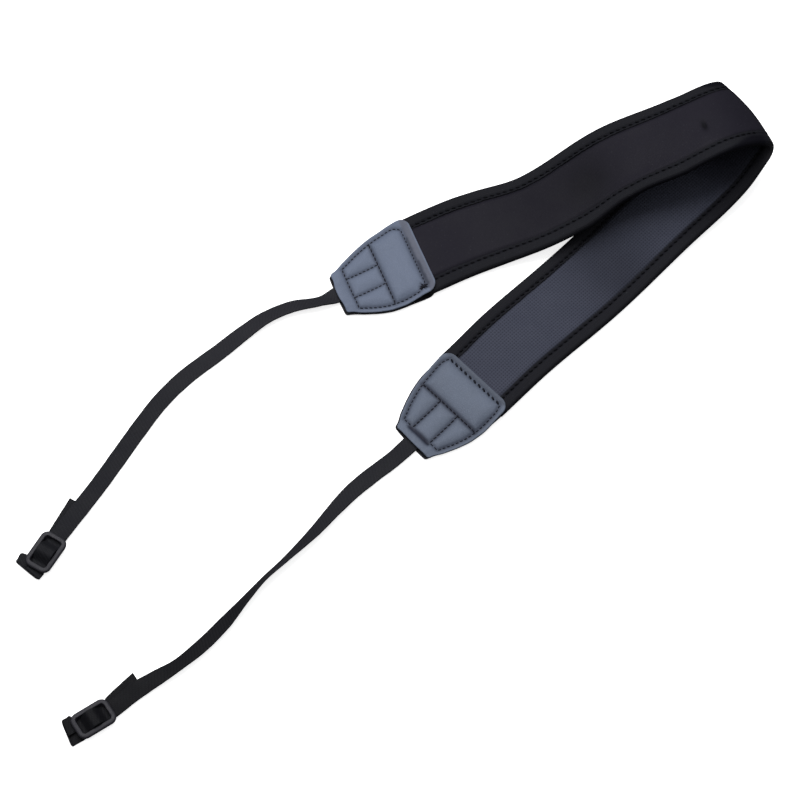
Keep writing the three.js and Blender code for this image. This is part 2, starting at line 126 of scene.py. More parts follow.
def foldAt(u):  # place and pitch on the fold's profile at the distance u along it
    u = np.asarray(u, float)
    x, z, pitch, start = 0.0, 0.0, 0.0, 0.0
    found = None
    for row in foldRuns:
        length, turn = row["length"], math.radians(row["turn"])
        step = u - start
        if turn:
            radius = length / turn
            now = pitch + turn * step / length
            here = (x + radius * (np.sin(now) - math.sin(pitch)),
                    z + radius * (math.cos(pitch) - np.cos(now)), now)
        else:
            here = (x + step * math.cos(pitch), z + step * math.sin(pitch), np.full_like(u, pitch))
        found = here if found is None else tuple(np.where(step >= 0, a, b) for a, b in zip(here, found))
        if turn:
            x += length / turn * (math.sin(pitch + turn) - math.sin(pitch))
            z += length / turn * (math.cos(pitch) - math.cos(pitch + turn))
        else:
            x += length * math.cos(pitch)
            z += length * math.sin(pitch)
        pitch += turn
        start += length
    return found


def columnAt(rows, key, s):  # a table's column, by cubics whose slopes never overshoot the rows
    places = np.array([row["s"] for row in rows], float)
    values = np.array([row[key] for row in rows], float)
    slopes = np.diff(values) / np.diff(places)
    before, after = slopes[:-1], slopes[1:]
    both = before * after > 0
    tangents = np.zeros(len(rows))
    tangents[1:-1] = np.where(both, 2 * before * after / np.where(both, before + after, 1), 0)
    s = np.asarray(s, float)
    i = np.clip(np.searchsorted(places, s, side="right") - 1, 0, len(rows) - 2)
    span = places[i + 1] - places[i]
    x = np.clip((s - places[i]) / span, 0, 1)
    bend = x * x * (3 - 2 * x)
    swerve = (1 - x) * tangents[i] - x * tangents[i + 1]
    return lerp(values[i], values[i + 1], bend) + span * x * (1 - x) * swerve


def tabDepth(s):  # distance into the tab from its wide edge, negative on the open pad
    return np.maximum(-np.asarray(s, float), np.asarray(s, float) - lay["padLength"])


def tuckThinning(p):
    return lerp(1, lay["tuckThickness"], np.clip(p / lay["padTuck"], 0, 1))


def tabInside(p, x):  # inner face of a tab panel above the strap's middle plane
    layers = lay["core"] * tuckThinning(p) + lay["clear"]
    webbing = lay["webThick"] / 2 + lay["layerGap"]
    middle = lerp(layers, webbing, smoothstep(p, lay["padTuck"], lay["tabThin"]))
    side = lerp(middle, lay["tabSeamGap"], smoothstep(np.abs(x), lay["tabFlat"], 1))
    openHeight = lay["tapeInside"] + lay["tapeTuckWall"] + lay["layerGap"]
    return lerp(openHeight, side, smoothstep(p, lay["tapeTuck"], lay["tabClosed"]))


def restHeight(s):
    p = tabDepth(s)
    inTab = tabInside(np.maximum(p, 0), 0) + lay["tabWall"]
    onPad = lerp(lay["edgeHalf"], tabInside(0.0, 0) + lay["tabWall"], smoothstep(p, -lay["tabRamp"], 0))
    return np.where(p >= 0, inTab, onPad)


def padHalfWidth(s):
    return columnAt(padRows, "width", s) / 2


def tabHalfWidth(p):
    def corner(r, d):
        return r - np.sqrt(r ** 2 - np.maximum(r - d, 0) ** 2)
    narrow = corner(lay["narrowCorner"], lay["tabLength"] - p)
    return columnAt(tabRows, "half", p) - corner(lay["wideCorner"], p) - narrow


def place(s, t, n):  # s along the strap, t across towards the far edge, n through it towards the lining
    s, t, n = np.broadcast_arrays(np.asarray(s, float), np.asarray(t, float), np.asarray(n, float))
    fade = 1 - smoothstep(np.abs(s - lay["edgeDrawAt"]), *lay["edgeDrawFade"])
    drawn = lay["edgeDraw"] * fade * smoothstep(-t, *lay["edgeDrawFrom"])
    t, n = t + drawn, n - drawn  # the near edge curls a little where the upper leg comes down
    tilt = np.radians(columnAt(padRows, "tilt", s))
    across = t * np.cos(tilt) - n * np.sin(tilt)
    through = t * np.sin(tilt) + n * np.cos(tilt)
    swing = math.radians(lay["splay"])
    x, z, pitch = foldAt(s * math.cos(swing) - across * math.sin(swing))
    nose = 1 - smoothstep(np.abs(s - lay["noseAt"]), 0, lay["noseReach"])
    bow = lay["noseBow"] * nose * (t / padHalfWidth(s)) ** 2
    spot = np.stack([
        x - bow - through * np.sin(pitch),
        s * math.sin(swing) + across * math.cos(swing) + columnAt(padRows, "sway", s),
        z + through * np.cos(pitch) + restHeight(s),
    ], axis=-1)
    return (spot - boxMiddle) * mm


# mesh helpers
def makePiece(name, verts, faces, faceUvs=None, material=None, values=None):
    mesh = bpy.data.meshes.new(name)
    mesh.from_pydata(np.asarray(verts).tolist(), [], faces)
    if faceUvs is not None:
        layer = mesh.uv_layers.new(name="flat")
        layer.data.foreach_set("uv", np.concatenate([np.asarray(f, float).ravel() for f in faceUvs]))
    for key, numbers in (values or {}).items():
        attribute = mesh.attributes.new(key, "FLOAT", "POINT")
        attribute.data.foreach_set("value", np.asarray(numbers, float).ravel())
    work = bmesh.new()
    work.from_mesh(mesh)
    bmesh.ops.recalc_face_normals(work, faces=work.faces)
    work.to_mesh(mesh)
    work.free()
    mesh.polygons.foreach_set("use_smooth", np.ones(len(mesh.polygons), bool))
    piece = bpy.data.objects.new(name, mesh)
    bpy.context.scene.collection.objects.link(piece)
    if material:
        mesh.materials.append(material)
    return piece


def ringFaces(rows, cols, uv):  # quads between closed rings, with caps; uv has one column more than the rings
    r, c = np.meshgrid(np.arange(rows - 1), np.arange(cols), indexing="ij")
    r, c = r.ravel(), c.ravel()
    n = (c + 1) % cols
    quads = np.stack([r * cols + c, r * cols + n, (r + 1) * cols + n, (r + 1) * cols + c], 1)
    quadUvs = np.stack([uv[r, c], uv[r, c + 1], uv[r + 1, c + 1], uv[r + 1, c]], 1)
    faces = quads.tolist() + [list(range(cols)), list(range((rows - 1) * cols, rows * cols))]
    faceUvs = list(quadUvs) + [uv[0, :cols], uv[-1, :cols]]
    return faces, faceUvs


def ringPiece(name, rings, uv, material, values=None):
    rows, cols = rings.shape[:2]
    faces, faceUvs = ringFaces(rows, cols, uv)
    return makePiece(name, rings.reshape(-1, 3), faces, faceUvs, material, values)


def riding(piece, slotName, *nodes):
    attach(piece, "root")
    if nodes:
        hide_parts(*nodes)
    return piece


# shader helpers
def feed(tree, socket, value):
    if isinstance(value, bpy.types.NodeSocket):
        tree.links.new(value, socket)
    elif value is not None:
        socket.default_value = value


def addNode(tree, kind, settings=None, **inputs):
    node = tree.nodes.new("ShaderNode" + kind)
    for key, value in (settings or {}).items():
        setattr(node, key, value)
    for key, value in inputs.items():
        feed(tree, node.inputs[key.replace("_", " ")], value)
    return node


def calc(tree, operation, a, b=None, c=None):
    node = addNode(tree, "Math", {"operation": operation})
    for socket, value in zip(node.inputs, (a, b, c)):
        feed(tree, socket, value)
    return node.outputs[0]


def ramp(tree, value, low, high, toLow=0.0, toHigh=1.0):
    node = addNode(tree, "MapRange", {"interpolation_type": "SMOOTHSTEP"}, Value=value)
    for key, number in (("From Min", low), ("From Max", high), ("To Min", toLow), ("To Max", toHigh)):
        node.inputs[key].default_value = number
    return node.outputs[0]


def blendColor(tree, factor, a, b):
    node = addNode(tree, "Mix", {"data_type": "RGBA", "blend_type": "MIX"})
    feed(tree, node.inputs[0], factor)
    for socket, value in ((node.inputs[6], a), (node.inputs[7], b)):
        feed(tree, socket, (*value, 1) if isinstance(value, tuple) else value)
    return node.outputs[2]


def newGroup(name, inputs, outputs):
    tree = bpy.data.node_groups.new(name, "ShaderNodeTree")
    for label, kind, value in inputs:
        socket = tree.interface.new_socket(name=label, in_out="INPUT", socket_type=kind)
        if value is not None:
            socket.default_value = value
    for label in outputs:
        tree.interface.new_socket(name=label, in_out="OUTPUT", socket_type="NodeSocketFloat")
    return tree, tree.nodes.new("NodeGroupInput").outputs, tree.nodes.new("NodeGroupOutput").inputs


def useGroup(tree, group, **inputs):
    node = tree.nodes.new("ShaderNodeGroup")
    node.node_tree = group
    for key, value in inputs.items():
        feed(tree, node.inputs[key], value)
    return node.outputs


vectorSocket, floatSocket = "NodeSocketVector", "NodeSocketFloat"


def weaveGroup():  # rows of small floats, each column shifted by Stagger
    tree, given, out = newGroup("yarnWeave", [
        ("Vector", vectorSocket, None), ("Across", floatSocket, 1.0), ("Along", floatSocket, 1.0),
        ("Stagger", floatSocket, 0.5)], ["Height"])

    def arch(value, power):
        wave = calc(tree, "SINE", calc(tree, "MULTIPLY", value, math.pi))
        return calc(tree, "POWER", calc(tree, "ABSOLUTE", wave), power)

    xyz = addNode(tree, "SeparateXYZ", Vector=given["Vector"]).outputs
    u = calc(tree, "DIVIDE", xyz[0], given["Across"])
    v = calc(tree, "DIVIDE", xyz[1], given["Along"])
    shift = calc(tree, "MULTIPLY", calc(tree, "FLOOR", u), given["Stagger"])
    height = calc(tree, "MULTIPLY", arch(calc(tree, "ADD", v, shift), 0.6), arch(u, 0.5))
    tree.links.new(height, out["Height"])
    return tree


def holesGroup():  # rows of round holes of an open mesh
    tree, given, out = newGroup("meshHoles", [("Vector", vectorSocket, None), ("Pitch", floatSocket, 1.6)],
                                ["Hole", "Height"])
    xyz = addNode(tree, "SeparateXYZ", Vector=given["Vector"]).outputs
    waves = []
    for k in (0, 1):
        turns = calc(tree, "DIVIDE", xyz[k], given["Pitch"])
        waves.append(calc(tree, "COSINE", calc(tree, "MULTIPLY", turns, 2 * math.pi)))
    both = calc(tree, "MULTIPLY", calc(tree, "ADD", *waves), 0.5)
    tree.links.new(ramp(tree, both, 0.2, 0.8), out["Hole"])
    tree.links.new(ramp(tree, both, -0.6, 0.8, 1.0, 0.0), out["Height"])
    return tree


def sizedVector(tree, given):
    share = calc(tree, "DIVIDE", 1.0, given["Size"])
    return addNode(tree, "VectorMath", {"operation": "SCALE"}, Vector=given["Vector"], Scale=share).outputs[0]


def grainGroup():  # pebbled skin of leatherette or of moulded plastic
    tree, given, out = newGroup("pebbleGrain", [("Vector", vectorSocket, None), ("Size", floatSocket, 1.0)],
                                ["Height", "Crease"])
    vector = sizedVector(tree, given)
    warp = addNode(tree, "TexNoise", Vector=vector, Scale=0.6, Detail=2.0)
    moved = addNode(tree, "MixRGB", {"blend_type": "LINEAR_LIGHT"}, Fac=0.35, Color1=vector,
                    Color2=warp.outputs["Color"])
    cells = addNode(tree, "TexVoronoi", {"feature": "DISTANCE_TO_EDGE"}, Vector=moved.outputs[0], Scale=1.0)
    edge = ramp(tree, cells.outputs["Distance"], 0.0, 0.22)
    fine = addNode(tree, "TexNoise", Vector=vector, Scale=3.0, Detail=3.0)
    tree.links.new(calc(tree, "MULTIPLY_ADD", fine.outputs[0], 0.35, edge), out["Height"])
    tree.links.new(calc(tree, "SUBTRACT", 1.0, edge), out["Crease"])
    return tree


def wearGroup():  # slow patches of handling and fading, with fine flecks of lint
    tree, given, out = newGroup("handlingWear", [("Vector", vectorSocket, None), ("Size", floatSocket, 20.0)],
                                ["Patch", "Fleck"])
    slow = addNode(tree, "TexNoise", Vector=sizedVector(tree, given), Scale=1.0, Detail=3.0, Roughness=0.55)
    tree.links.new(ramp(tree, slow.outputs[0], 0.3, 0.7), out["Patch"])
    quick = addNode(tree, "TexNoise", Vector=given["Vector"], Scale=1.1, Detail=1.0, Roughness=0.4)
    tree.links.new(ramp(tree, quick.outputs[0], 0.69, 0.78), out["Fleck"])
    return tree


yarnWeave, meshHoles, pebbleGrain, handlingWear = weaveGroup(), holesGroup(), grainGroup(), wearGroup()
lintColor = (0.35, 0.36, 0.4)
paintedShadeShare = 0.75  # share of the painted shade's own colour where its mask is full


def newMaterial(name, look):
    material = bpy.data.materials.new(name)
    material.use_nodes = True
    tree = material.node_tree
    tree.nodes.clear()
    shader = addNode(tree, "BsdfPrincipled")
    shader.inputs["Specular IOR Level"].default_value = look["specular"]
    output = tree.nodes.new("ShaderNodeOutputMaterial")
    tree.links.new(shader.outputs[0], output.inputs[0])
    uv = addNode(tree, "UVMap", {"uv_map": "flat"}).outputs[0]
    wear = useGroup(tree, handlingWear, Vector=uv, Size=look["patch"])
    color = blendColor(tree, wear["Patch"], look["color"], look["faded"])
    color = blendColor(tree, calc(tree, "MULTIPLY", wear["Fleck"], look.get("lint", 0)), color, lintColor)
    rough = ramp(tree, wear["Patch"], 0, 1, look["roughness"], look["roughness"] + look["roughSpread"])
    tree.links.new(rough, shader.inputs["Roughness"])
    return material, tree, shader, uv, color


def finishMaterial(tree, shader, color, height, look, tints):  # each tint is an attribute with its own colour
    for key in tints:
        share = addNode(tree, "Attribute", {"attribute_name": key}).outputs["Fac"]
        if key == "paintedShade":
            share = calc(tree, "MULTIPLY", share, paintedShadeShare)
        color = blendColor(tree, share, color, look[key])
    tree.links.new(color, shader.inputs["Base Color"])
    bump = addNode(tree, "Bump", Height=height)
    bump.inputs["Strength"].default_value = 1.0
    bump.inputs["Distance"].default_value = look["depth"] * mm
    tree.links.new(bump.outputs[0], shader.inputs["Normal"])


def wovenMaterial(name, look, *tints):
    material, tree, shader, uv, color = newMaterial(name, look)
    weave = useGroup(tree, yarnWeave, Vector=uv, Across=look["across"], Along=look["along"],
                     Stagger=look["stagger"])["Height"]
    if "yarn" in look:
        color = blendColor(tree, calc(tree, "MULTIPLY", weave, look["yarnShare"]), color, look["yarn"])
    finishMaterial(tree, shader, color, weave, look, tints)
    return material


def grainedMaterial(name, look, *tints):
    material, tree, shader, uv, color = newMaterial(name, look)
    grain = useGroup(tree, pebbleGrain, Vector=uv, Size=look["grain"])
    crease = calc(tree, "MULTIPLY", grain["Crease"], look["creaseShare"])
    color = blendColor(tree, crease, color, look["crease"])
    finishMaterial(tree, shader, color, grain["Height"], look, tints)
    return material


def meshMaterial(name, look, *tints):
    material, tree, shader, uv, color = newMaterial(name, look)
    pitch = look["pitch"]
    holes = useGroup(tree, meshHoles, Vector=uv, Pitch=pitch)
    yarn = useGroup(tree, yarnWeave, Vector=uv, Across=pitch / 4, Along=pitch / 3, Stagger=0.5)
    color = blendColor(tree, calc(tree, "MULTIPLY", holes["Hole"], look["holeShare"]), color, look["hole"])
    height = calc(tree, "MULTIPLY_ADD", yarn["Height"], 0.18, holes["Height"])
    finishMaterial(tree, shader, color, height, look, tints)
    return material


neopreneLook = {
    "color": (0.0092, 0.0084, 0.0134), "faded": (0.0108, 0.0099, 0.0154), "roughness": 0.55,
    "roughSpread": 0.1, "specular": 0.08, "patch": 34, "lint": 0.05, "depth": 0.05,
    "across": 0.55, "along": 0.8, "stagger": 0.0, "yarn": (0.0145, 0.0135, 0.0205), "yarnShare": 0.2,
    "paintedShade": (0.003, 0.003, 0.005),
}
meshLook = {
    "color": (0.0435, 0.0475, 0.0680), "faded": (0.0500, 0.0540, 0.0754), "roughness": 0.8,
    "roughSpread": 0.1, "specular": 0.06, "patch": 22, "lint": 0.06, "depth": 0.2,
    "pitch": 1.55, "hole": (0.012, 0.012, 0.017), "holeShare": 0.5, "paintedShade": (0.006, 0.006, 0.009),
}
tapeLook = {
    "color": (0.0074, 0.0076, 0.0100), "faded": (0.0094, 0.0096, 0.0124), "roughness": 0.7,
    "roughSpread": 0.12, "specular": 0.08, "patch": 15, "lint": 0.06, "depth": 0.1,
    "across": 1.3, "along": 0.85, "stagger": 0.5, "yarn": (0.0165, 0.017, 0.0215), "yarnShare": 0.3,
    "paintedShade": (0.0025, 0.0025, 0.005), "paintedTipLight": (0.034, 0.034, 0.040),
}
leatherLook = {
    "roughness": 0.5, "roughSpread": 0.12, "specular": 0.2, "patch": 12, "depth": 0.07, "grain": 0.85,
    "creaseShare": 0.22, "cut": (0.006, 0.006, 0.009),
}
# each tab's colours; the last is the painted shade along its stitching
leatherColors = {
    "left": {
        "color": (0.116, 0.141, 0.200), "faded": (0.128, 0.153, 0.214), "crease": (0.075, 0.09, 0.13),
        "border": (0.088, 0.092, 0.118), "channelShade": (0.020, 0.024, 0.040),
    },
    "right": {
        "color": (0.104, 0.124, 0.168), "faded": (0.118, 0.140, 0.188), "crease": (0.06, 0.072, 0.105),
        "border": (0.066, 0.076, 0.100), "channelShade": (0.010, 0.012, 0.024),
    },
}
webbingLook = {
    "color": (0.0066, 0.0069, 0.0090), "faded": (0.0084, 0.0088, 0.0114), "roughness": 0.55,
    "roughSpread": 0.12, "specular": 0.1, "patch": 18, "lint": 0.05, "depth": 0.14,
    "across": 0.9, "along": 2.0, "stagger": 0.25, "yarn": (0.0185, 0.019, 0.0245), "yarnShare": 0.4,
    # painted sheen and painted shade, laid along each strap by webTones
    "pale": (0.024, 0.024, 0.030), "dim": (0.0015, 0.0015, 0.002),
}
plasticLook = {
    "color": (0.0155, 0.0150, 0.0205), "faded": (0.0195, 0.0190, 0.0255), "roughness": 0.42,
    "roughSpread": 0.1, "specular": 0.22, "patch": 6, "depth": 0.02, "grain": 0.28,
    "crease": (0.03, 0.03, 0.036), "creaseShare": 0.15,
}
threadLook = {"roughSpread": 0.1, "patch": 5, "depth": 0.03, "across": 0.25, "along": 0.4, "stagger": 0.5}
threadColors = {
    "tab": {"color": (0.0060, 0.0068, 0.0120), "faded": (0.0090, 0.0100, 0.0160), "roughness": 0.5,
            "specular": 0.12},
    "tape": {"color": (0.0016, 0.0016, 0.0026), "faded": (0.0026, 0.0026, 0.0040), "roughness": 0.6,
             "specular": 0.06},
}
neopreneFace = wovenMaterial("neopreneFace", neopreneLook, "paintedShade")
airMesh = meshMaterial("airMesh", meshLook, "paintedShade")
foldedTape = wovenMaterial("foldedTape", tapeLook, "paintedShade", "paintedTipLight")
leatherettes = {
    end: grainedMaterial(f"leatherette{end.title()}", {**leatherLook, **colors}, "border", "channelShade", "cut")
    for end, colors in leatherColors.items()
}
wovenWebbing = wovenMaterial("wovenWebbing", webbingLook, "pale", "dim")
mouldedPlastic = grainedMaterial("mouldedPlastic", plasticLook)
threads = {
    use: wovenMaterial(f"{use}Thread", {**threadLook, **colors}) for use, colors in threadColors.items()
}
print("materials ready")

tapeForm = {
    "width": 8.4, "height": 2.42, "innerDrop": 0.3, "wall": 0.5, "round": 2.0, "seamAt": 6.9, "seamDip": 0.5,
    "seamWide": 0.8, "scallop": 0.12, "wander": 0.2, "step": 0.8, "pitch": 3.9, "flatten": 0.45,
    "beat": 0.28, "soft": 0.07, "softLength": 17,
    "foldShadeStrength": 1.33, "foldShadeFrom": (224, 234), "tipShade": 9, "tipFrom": (222, 230), "tipTo": (238, 258),
    "tipLightAt": 218.5, "tipLightReach": 6.5, "sunkFrom": 219, "sunkTo": 235,
}
tapeStitch = {"length": 2.7, "gap": 1.2, "radius": 0.42, "skew": 0.35}

# neck pad and its lining
padForm = {
    "pinched": 1.4, "full": 2.4, "crown": 0.45, "riseFrom": 7.6, "riseTo": 10.6, "edgeWall": 1.4,
    "back": 0.9, "backPinched": 0.3, "pucker": 0.1, "puckerReach": 3.2, "puckerLength": 15,
    "noseMiddle": 228, "noseFade": (10, 34), "noseDip": 0.3, "ripple": 0.06, "rippleLength": 70,
    "step": 1.5, "fineFrom": 190, "fineTo": 262, "fineStep": 0.7,
    "dents": table(  # pressed into the outer face: a soft one with a crease in it, and two shallow hollows; each one's shade is painted shade
        "s t long wide depth shade",
        (261.5, -3, 8, 6, 0.55, 0.1), (261.5, -3, 1.25, 3.3, 0.9, 1.7),
        (333, -3, 14, 16, 0.5, 0.75), (362, 0, 40, 40, 0.2, 0.5),
    ),
}
liningForm = {
    "pinched": 1.35, "full": 2.05, "crown": 0.15, "riseFrom": 7.6, "riseTo": 10.8, "thick": 0.85,
    "pucker": 0.1, "puckerReach": 3, "puckerLength": 11, "noseDip": 0.6, "foldShadeStrength": 0.95, "flatten": 0.4,
    # patch is the strength of the painted shadow where the legs meet
    "patch": 0.62, "legShadowAt": 106, "legShadowReach": 26,
    "wrinkles": table(  # low folds across the inside of the loop
        "s slant wide height",
        (172, 0.35, 2.2, 0.4), (180, -0.1, 1.8, 0.5), (187, 0.2, 1.7, 0.5), (194, -0.15, 1.8, 0.4),
    ),
}


def padStations():  # closer together round the nose
    form = padForm
    return np.concatenate([
        np.arange(-lay["padTuck"], form["fineFrom"], form["step"]),
        np.arange(form["fineFrom"], form["fineTo"], form["fineStep"]),
        np.arange(form["fineTo"], lay["padLength"] + lay["padTuck"] + 0.1, form["step"]),
    ])


def padEdge(s):  # half-width of the pad's own layers, drawn in under the tabs
    p = tabDepth(s)
    openEdge = padHalfWidth(s) - padForm["edgeWall"]
    deep = np.clip(p, 0, lay["tabLength"])
    tucked = lerp(openEdge, tabHalfWidth(deep) - lay["padInset"], smoothstep(p, 0, lay["tapeTuck"]))
    return np.where(p > 0, np.minimum(openEdge, tucked), openEdge)


def noseShare(s):  # 1 where the pad is drawn tight round the nose of the fold
    return 1 - smoothstep(np.abs(np.asarray(s, float) - padForm["noseMiddle"]), *padForm["noseFade"])


besideTape, middleShare = np.arange(0, 14, 0.8) / 24.5, 1 - 14.4 / 24.5  # shares of half the pad's width
betweenTapes = np.linspace(middleShare, -middleShare, 18)
acrossShares = np.concatenate([1 - besideTape, betweenTapes, besideTape[::-1] - 1])


def puckers(form, s, d, seed):  # little ripples that the stitching draws into the face beside it
    fade = np.exp(-np.maximum(d - form["riseFrom"], 0) / form["puckerReach"]) * smoothstep(d, 5, 8)
    return form["pucker"] * fade * waver(s, seed, form["puckerLength"])


def layerHeight(form, s, t):
    d = padHalfWidth(s) - np.abs(t)
    drawn = noseShare(s)
    rise = smoothstep(d, form["riseFrom"], form["riseTo"])
    pinched = lerp(form["pinched"], form["full"] - form["noseDip"], drawn)
    height = lerp(pinched, form["full"], rise) + form["crown"] * (1 - 0.8 * drawn) * smoothstep(d, 10, 25)
    return height + np.where(t > 0, puckers(form, s, d, 11), puckers(form, s, d, 12))


def dentReach(dent, s, t):
    return ((s - dent["s"]) / dent["long"]) ** 2 + ((t - dent["t"]) / dent["wide"]) ** 2


def padOuter(s, t):
    height = layerHeight(padForm, s, t)
    for dent in padForm["dents"]:
        height = height - dent["depth"] * np.exp(-dentReach(dent, s, t))
    return height + padForm["ripple"] * waver(s + 0.6 * t, 5, padForm["rippleLength"])


def foldPress(s):  # 1 where the inside of the fold is pressed flat
    return span(s, (190, 225), (255, 320))


def liningOuter(s, t):
    height = layerHeight(liningForm, s, t) * (1 - liningForm["flatten"] * foldPress(s))
    inside = smoothstep(padHalfWidth(s) - np.abs(t), 9, 15)
    for fold in liningForm["wrinkles"]:
        away = (s - fold["s"] - fold["slant"] * t - 1.5 * waver(t, int(fold["s"]), 40)) / fold["wide"]
        height = height + fold["height"] * inside * np.exp(-away ** 2)
    return height


def layerPiece(name, outer, back, paintedShading, side, material):  # closed layer: a fine face, and a plain back
    s = padStations()[:, None]
    edge = padEdge(s)
    thin = tuckThinning(tabDepth(s))
    t = acrossShares[None, :] * edge
    backShares = np.linspace(-1, 1, 13)[None, :]
    rings = np.concatenate([
        place(s, t, side * outer(s, t) * thin),
        place(s, backShares * edge, side * back(s, backShares * edge) * thin),
    ], axis=1)
    rings[:, :, 2] = np.maximum(rings[:, :, 2], 0)  # pressed flat where it lies on the surface
    u = np.concatenate([t, 2 * edge + backShares * edge, 4 * edge - acrossShares[None, :1] * edge], axis=1)
    uv = np.stack([u, np.broadcast_to(s, u.shape)], axis=-1)
    # painted shade in the valley beside the tape's seam, with each layer's own painted shading added
    beside = bell(padHalfWidth(s) - np.abs(t), tapeForm["width"], tapeForm["seamWide"])
    beside = np.maximum(beside, paintedShading(s, t))
    paintedShade = np.concatenate([beside, np.zeros((len(s), backShares.shape[1]))], axis=1)
    return ringPiece(name, rings, uv, material, {"paintedShade": paintedShade})


def padPaintedShade(s, t):  # painted shade in the dents, most of all in the crease
    return sum(dent["shade"] * np.exp(-dentReach(dent, s, t)) for dent in padForm["dents"])


def paintedFoldShade(s):  # painted shade inside the fold, where it goes round the neck
    return span(s, (166, 200), (315, 345))


def liningPaintedShade(s, t):
    form = liningForm
    patch = form["patch"] * bell(s, form["legShadowAt"], form["legShadowReach"])  # painted shadow where the legs meet
    return np.maximum(form["foldShadeStrength"] * paintedFoldShade(s), patch) + 0 * t


def padBack(s, t):
    d = padHalfWidth(s) - np.abs(t)
    rise = smoothstep(d, padForm["riseFrom"], padForm["riseTo"])
    return -lerp(padForm["backPinched"], padForm["back"], rise)


def liningBack(s, t):
    return liningOuter(s, t) - liningForm["thick"]


neckPad = riding(layerPiece("neckPad", padOuter, padBack, padPaintedShade, -1, neopreneFace), "neoprene", "neck_pad")
meshLining = layerPiece("meshLining", liningOuter, liningBack, liningPaintedShade, 1, airMesh)
riding(meshLining, "mesh", "mesh_lining")
print("neck pad and lining made")

# thread, laid as separate stitches along a line of points
def threadRings(line, normals, stitch):
    sides = 6
    steps = walkAlong(line)
    pitch = (stitch["length"] + stitch["gap"]) * mm
    count = max(1, int(round(steps[-1] / pitch)))
    pitch = steps[-1] / count
    half = pitch * stitch["length"] / (stitch["length"] + stitch["gap"]) / 2
    shares = np.array([-1, -0.9, -0.6, -0.2, 0.2, 0.6, 0.9, 1])
    lifts = np.array([-1.5, -0.5, 0.45, 0.8, 0.8, 0.45, -0.5, -1.5])
    swells = np.array([0.55, 0.8, 1, 1.05, 1.05, 1, 0.8, 0.55])
    turns = np.linspace(0, 2 * np.pi, sides, endpoint=False)
    verts, faces, uvs = [], [], []
    for k in range(count):
        at = (k + 0.5) * pitch + half * shares
        spine = np.stack([np.interp(at, steps, line[:, i]) for i in range(3)], 1)
        up = np.stack([np.interp(at, steps, normals[:, i]) for i in range(3)], 1)
        up /= np.linalg.norm(up, axis=1)[:, None]
        along = spine[-1] - spine[0]
        along /= np.linalg.norm(along)
        out = np.cross(along, up)
        out /= np.linalg.norm(out, axis=1)[:, None]
        spine = spine + out * (stitch["skew"] * mm * shares)[:, None]
        radius = stitch["radius"] * mm
        middle = spine + up * (lifts * radius)[:, None]
        ring = middle[:, None] + radius * swells[:, None, None] * (
            np.cos(turns)[None, :, None] * out[:, None] + np.sin(turns)[None, :, None] * up[:, None])
        base = len(verts) * len(shares) * sides
        uv = np.stack(np.meshgrid(np.arange(sides + 1) * 0.25, at / mm, indexing="xy"), -1)
        ringQuads, ringUvs = ringFaces(len(shares), sides, uv)
        faces += [[base + i for i in face] for face in ringQuads]
        uvs += ringUvs
        verts.append(ring.reshape(-1, 3))
    return np.concatenate(verts), faces, uvs


def threadPiece(name, rows, use):  # rows of stitches joined into one piece
    verts, faces, uvs, base = [], [], [], 0
    for line, normals, stitch in rows:
        rowVerts, rowFaces, rowUvs = threadRings(line, normals, stitch)
        faces += [[base + i for i in face] for face in rowFaces]
        uvs += rowUvs
        verts.append(rowVerts)
        base += len(rowVerts)
    return riding(makePiece(name, np.concatenate(verts), faces, uvs, threads[use]), "binding")


# binding tape, a U round each long edge, sewn through
def tapeHeight(s, d, seed, face):
    form = tapeForm
    drawn = noseShare(s)
    press = 1 - form["flatten"] * foldPress(s) if face > 0 else 1
    base = form["height"] - form["innerDrop"] * (1 - drawn) * smoothstep(d, 4, form["width"])
    tucked = (lay["tapeInside"] + lay["tapeTuckWall"]) / lay["edgeHalf"]
    tuck = lerp(1, tucked, smoothstep(tabDepth(s), -6, 0))
    sewn = bell(d, form["seamAt"], form["seamWide"])
    beat = 1 - form["beat"] + form["beat"] * np.cos(2 * np.pi * s / form["pitch"])
    soft = form["soft"] * waver(s, seed, form["softLength"]) * smoothstep(d, 0.5, 3)
    return (base - form["seamDip"] * (1 - 0.5 * drawn) * sewn * beat + soft) * tuck * press


def tapeWidth(s, seed):
    form = tapeForm
    scallop = form["scallop"] * np.cos(2 * np.pi * s / form["pitch"])
    return form["width"] + form["wander"] * waver(s, seed, 60) + scallop


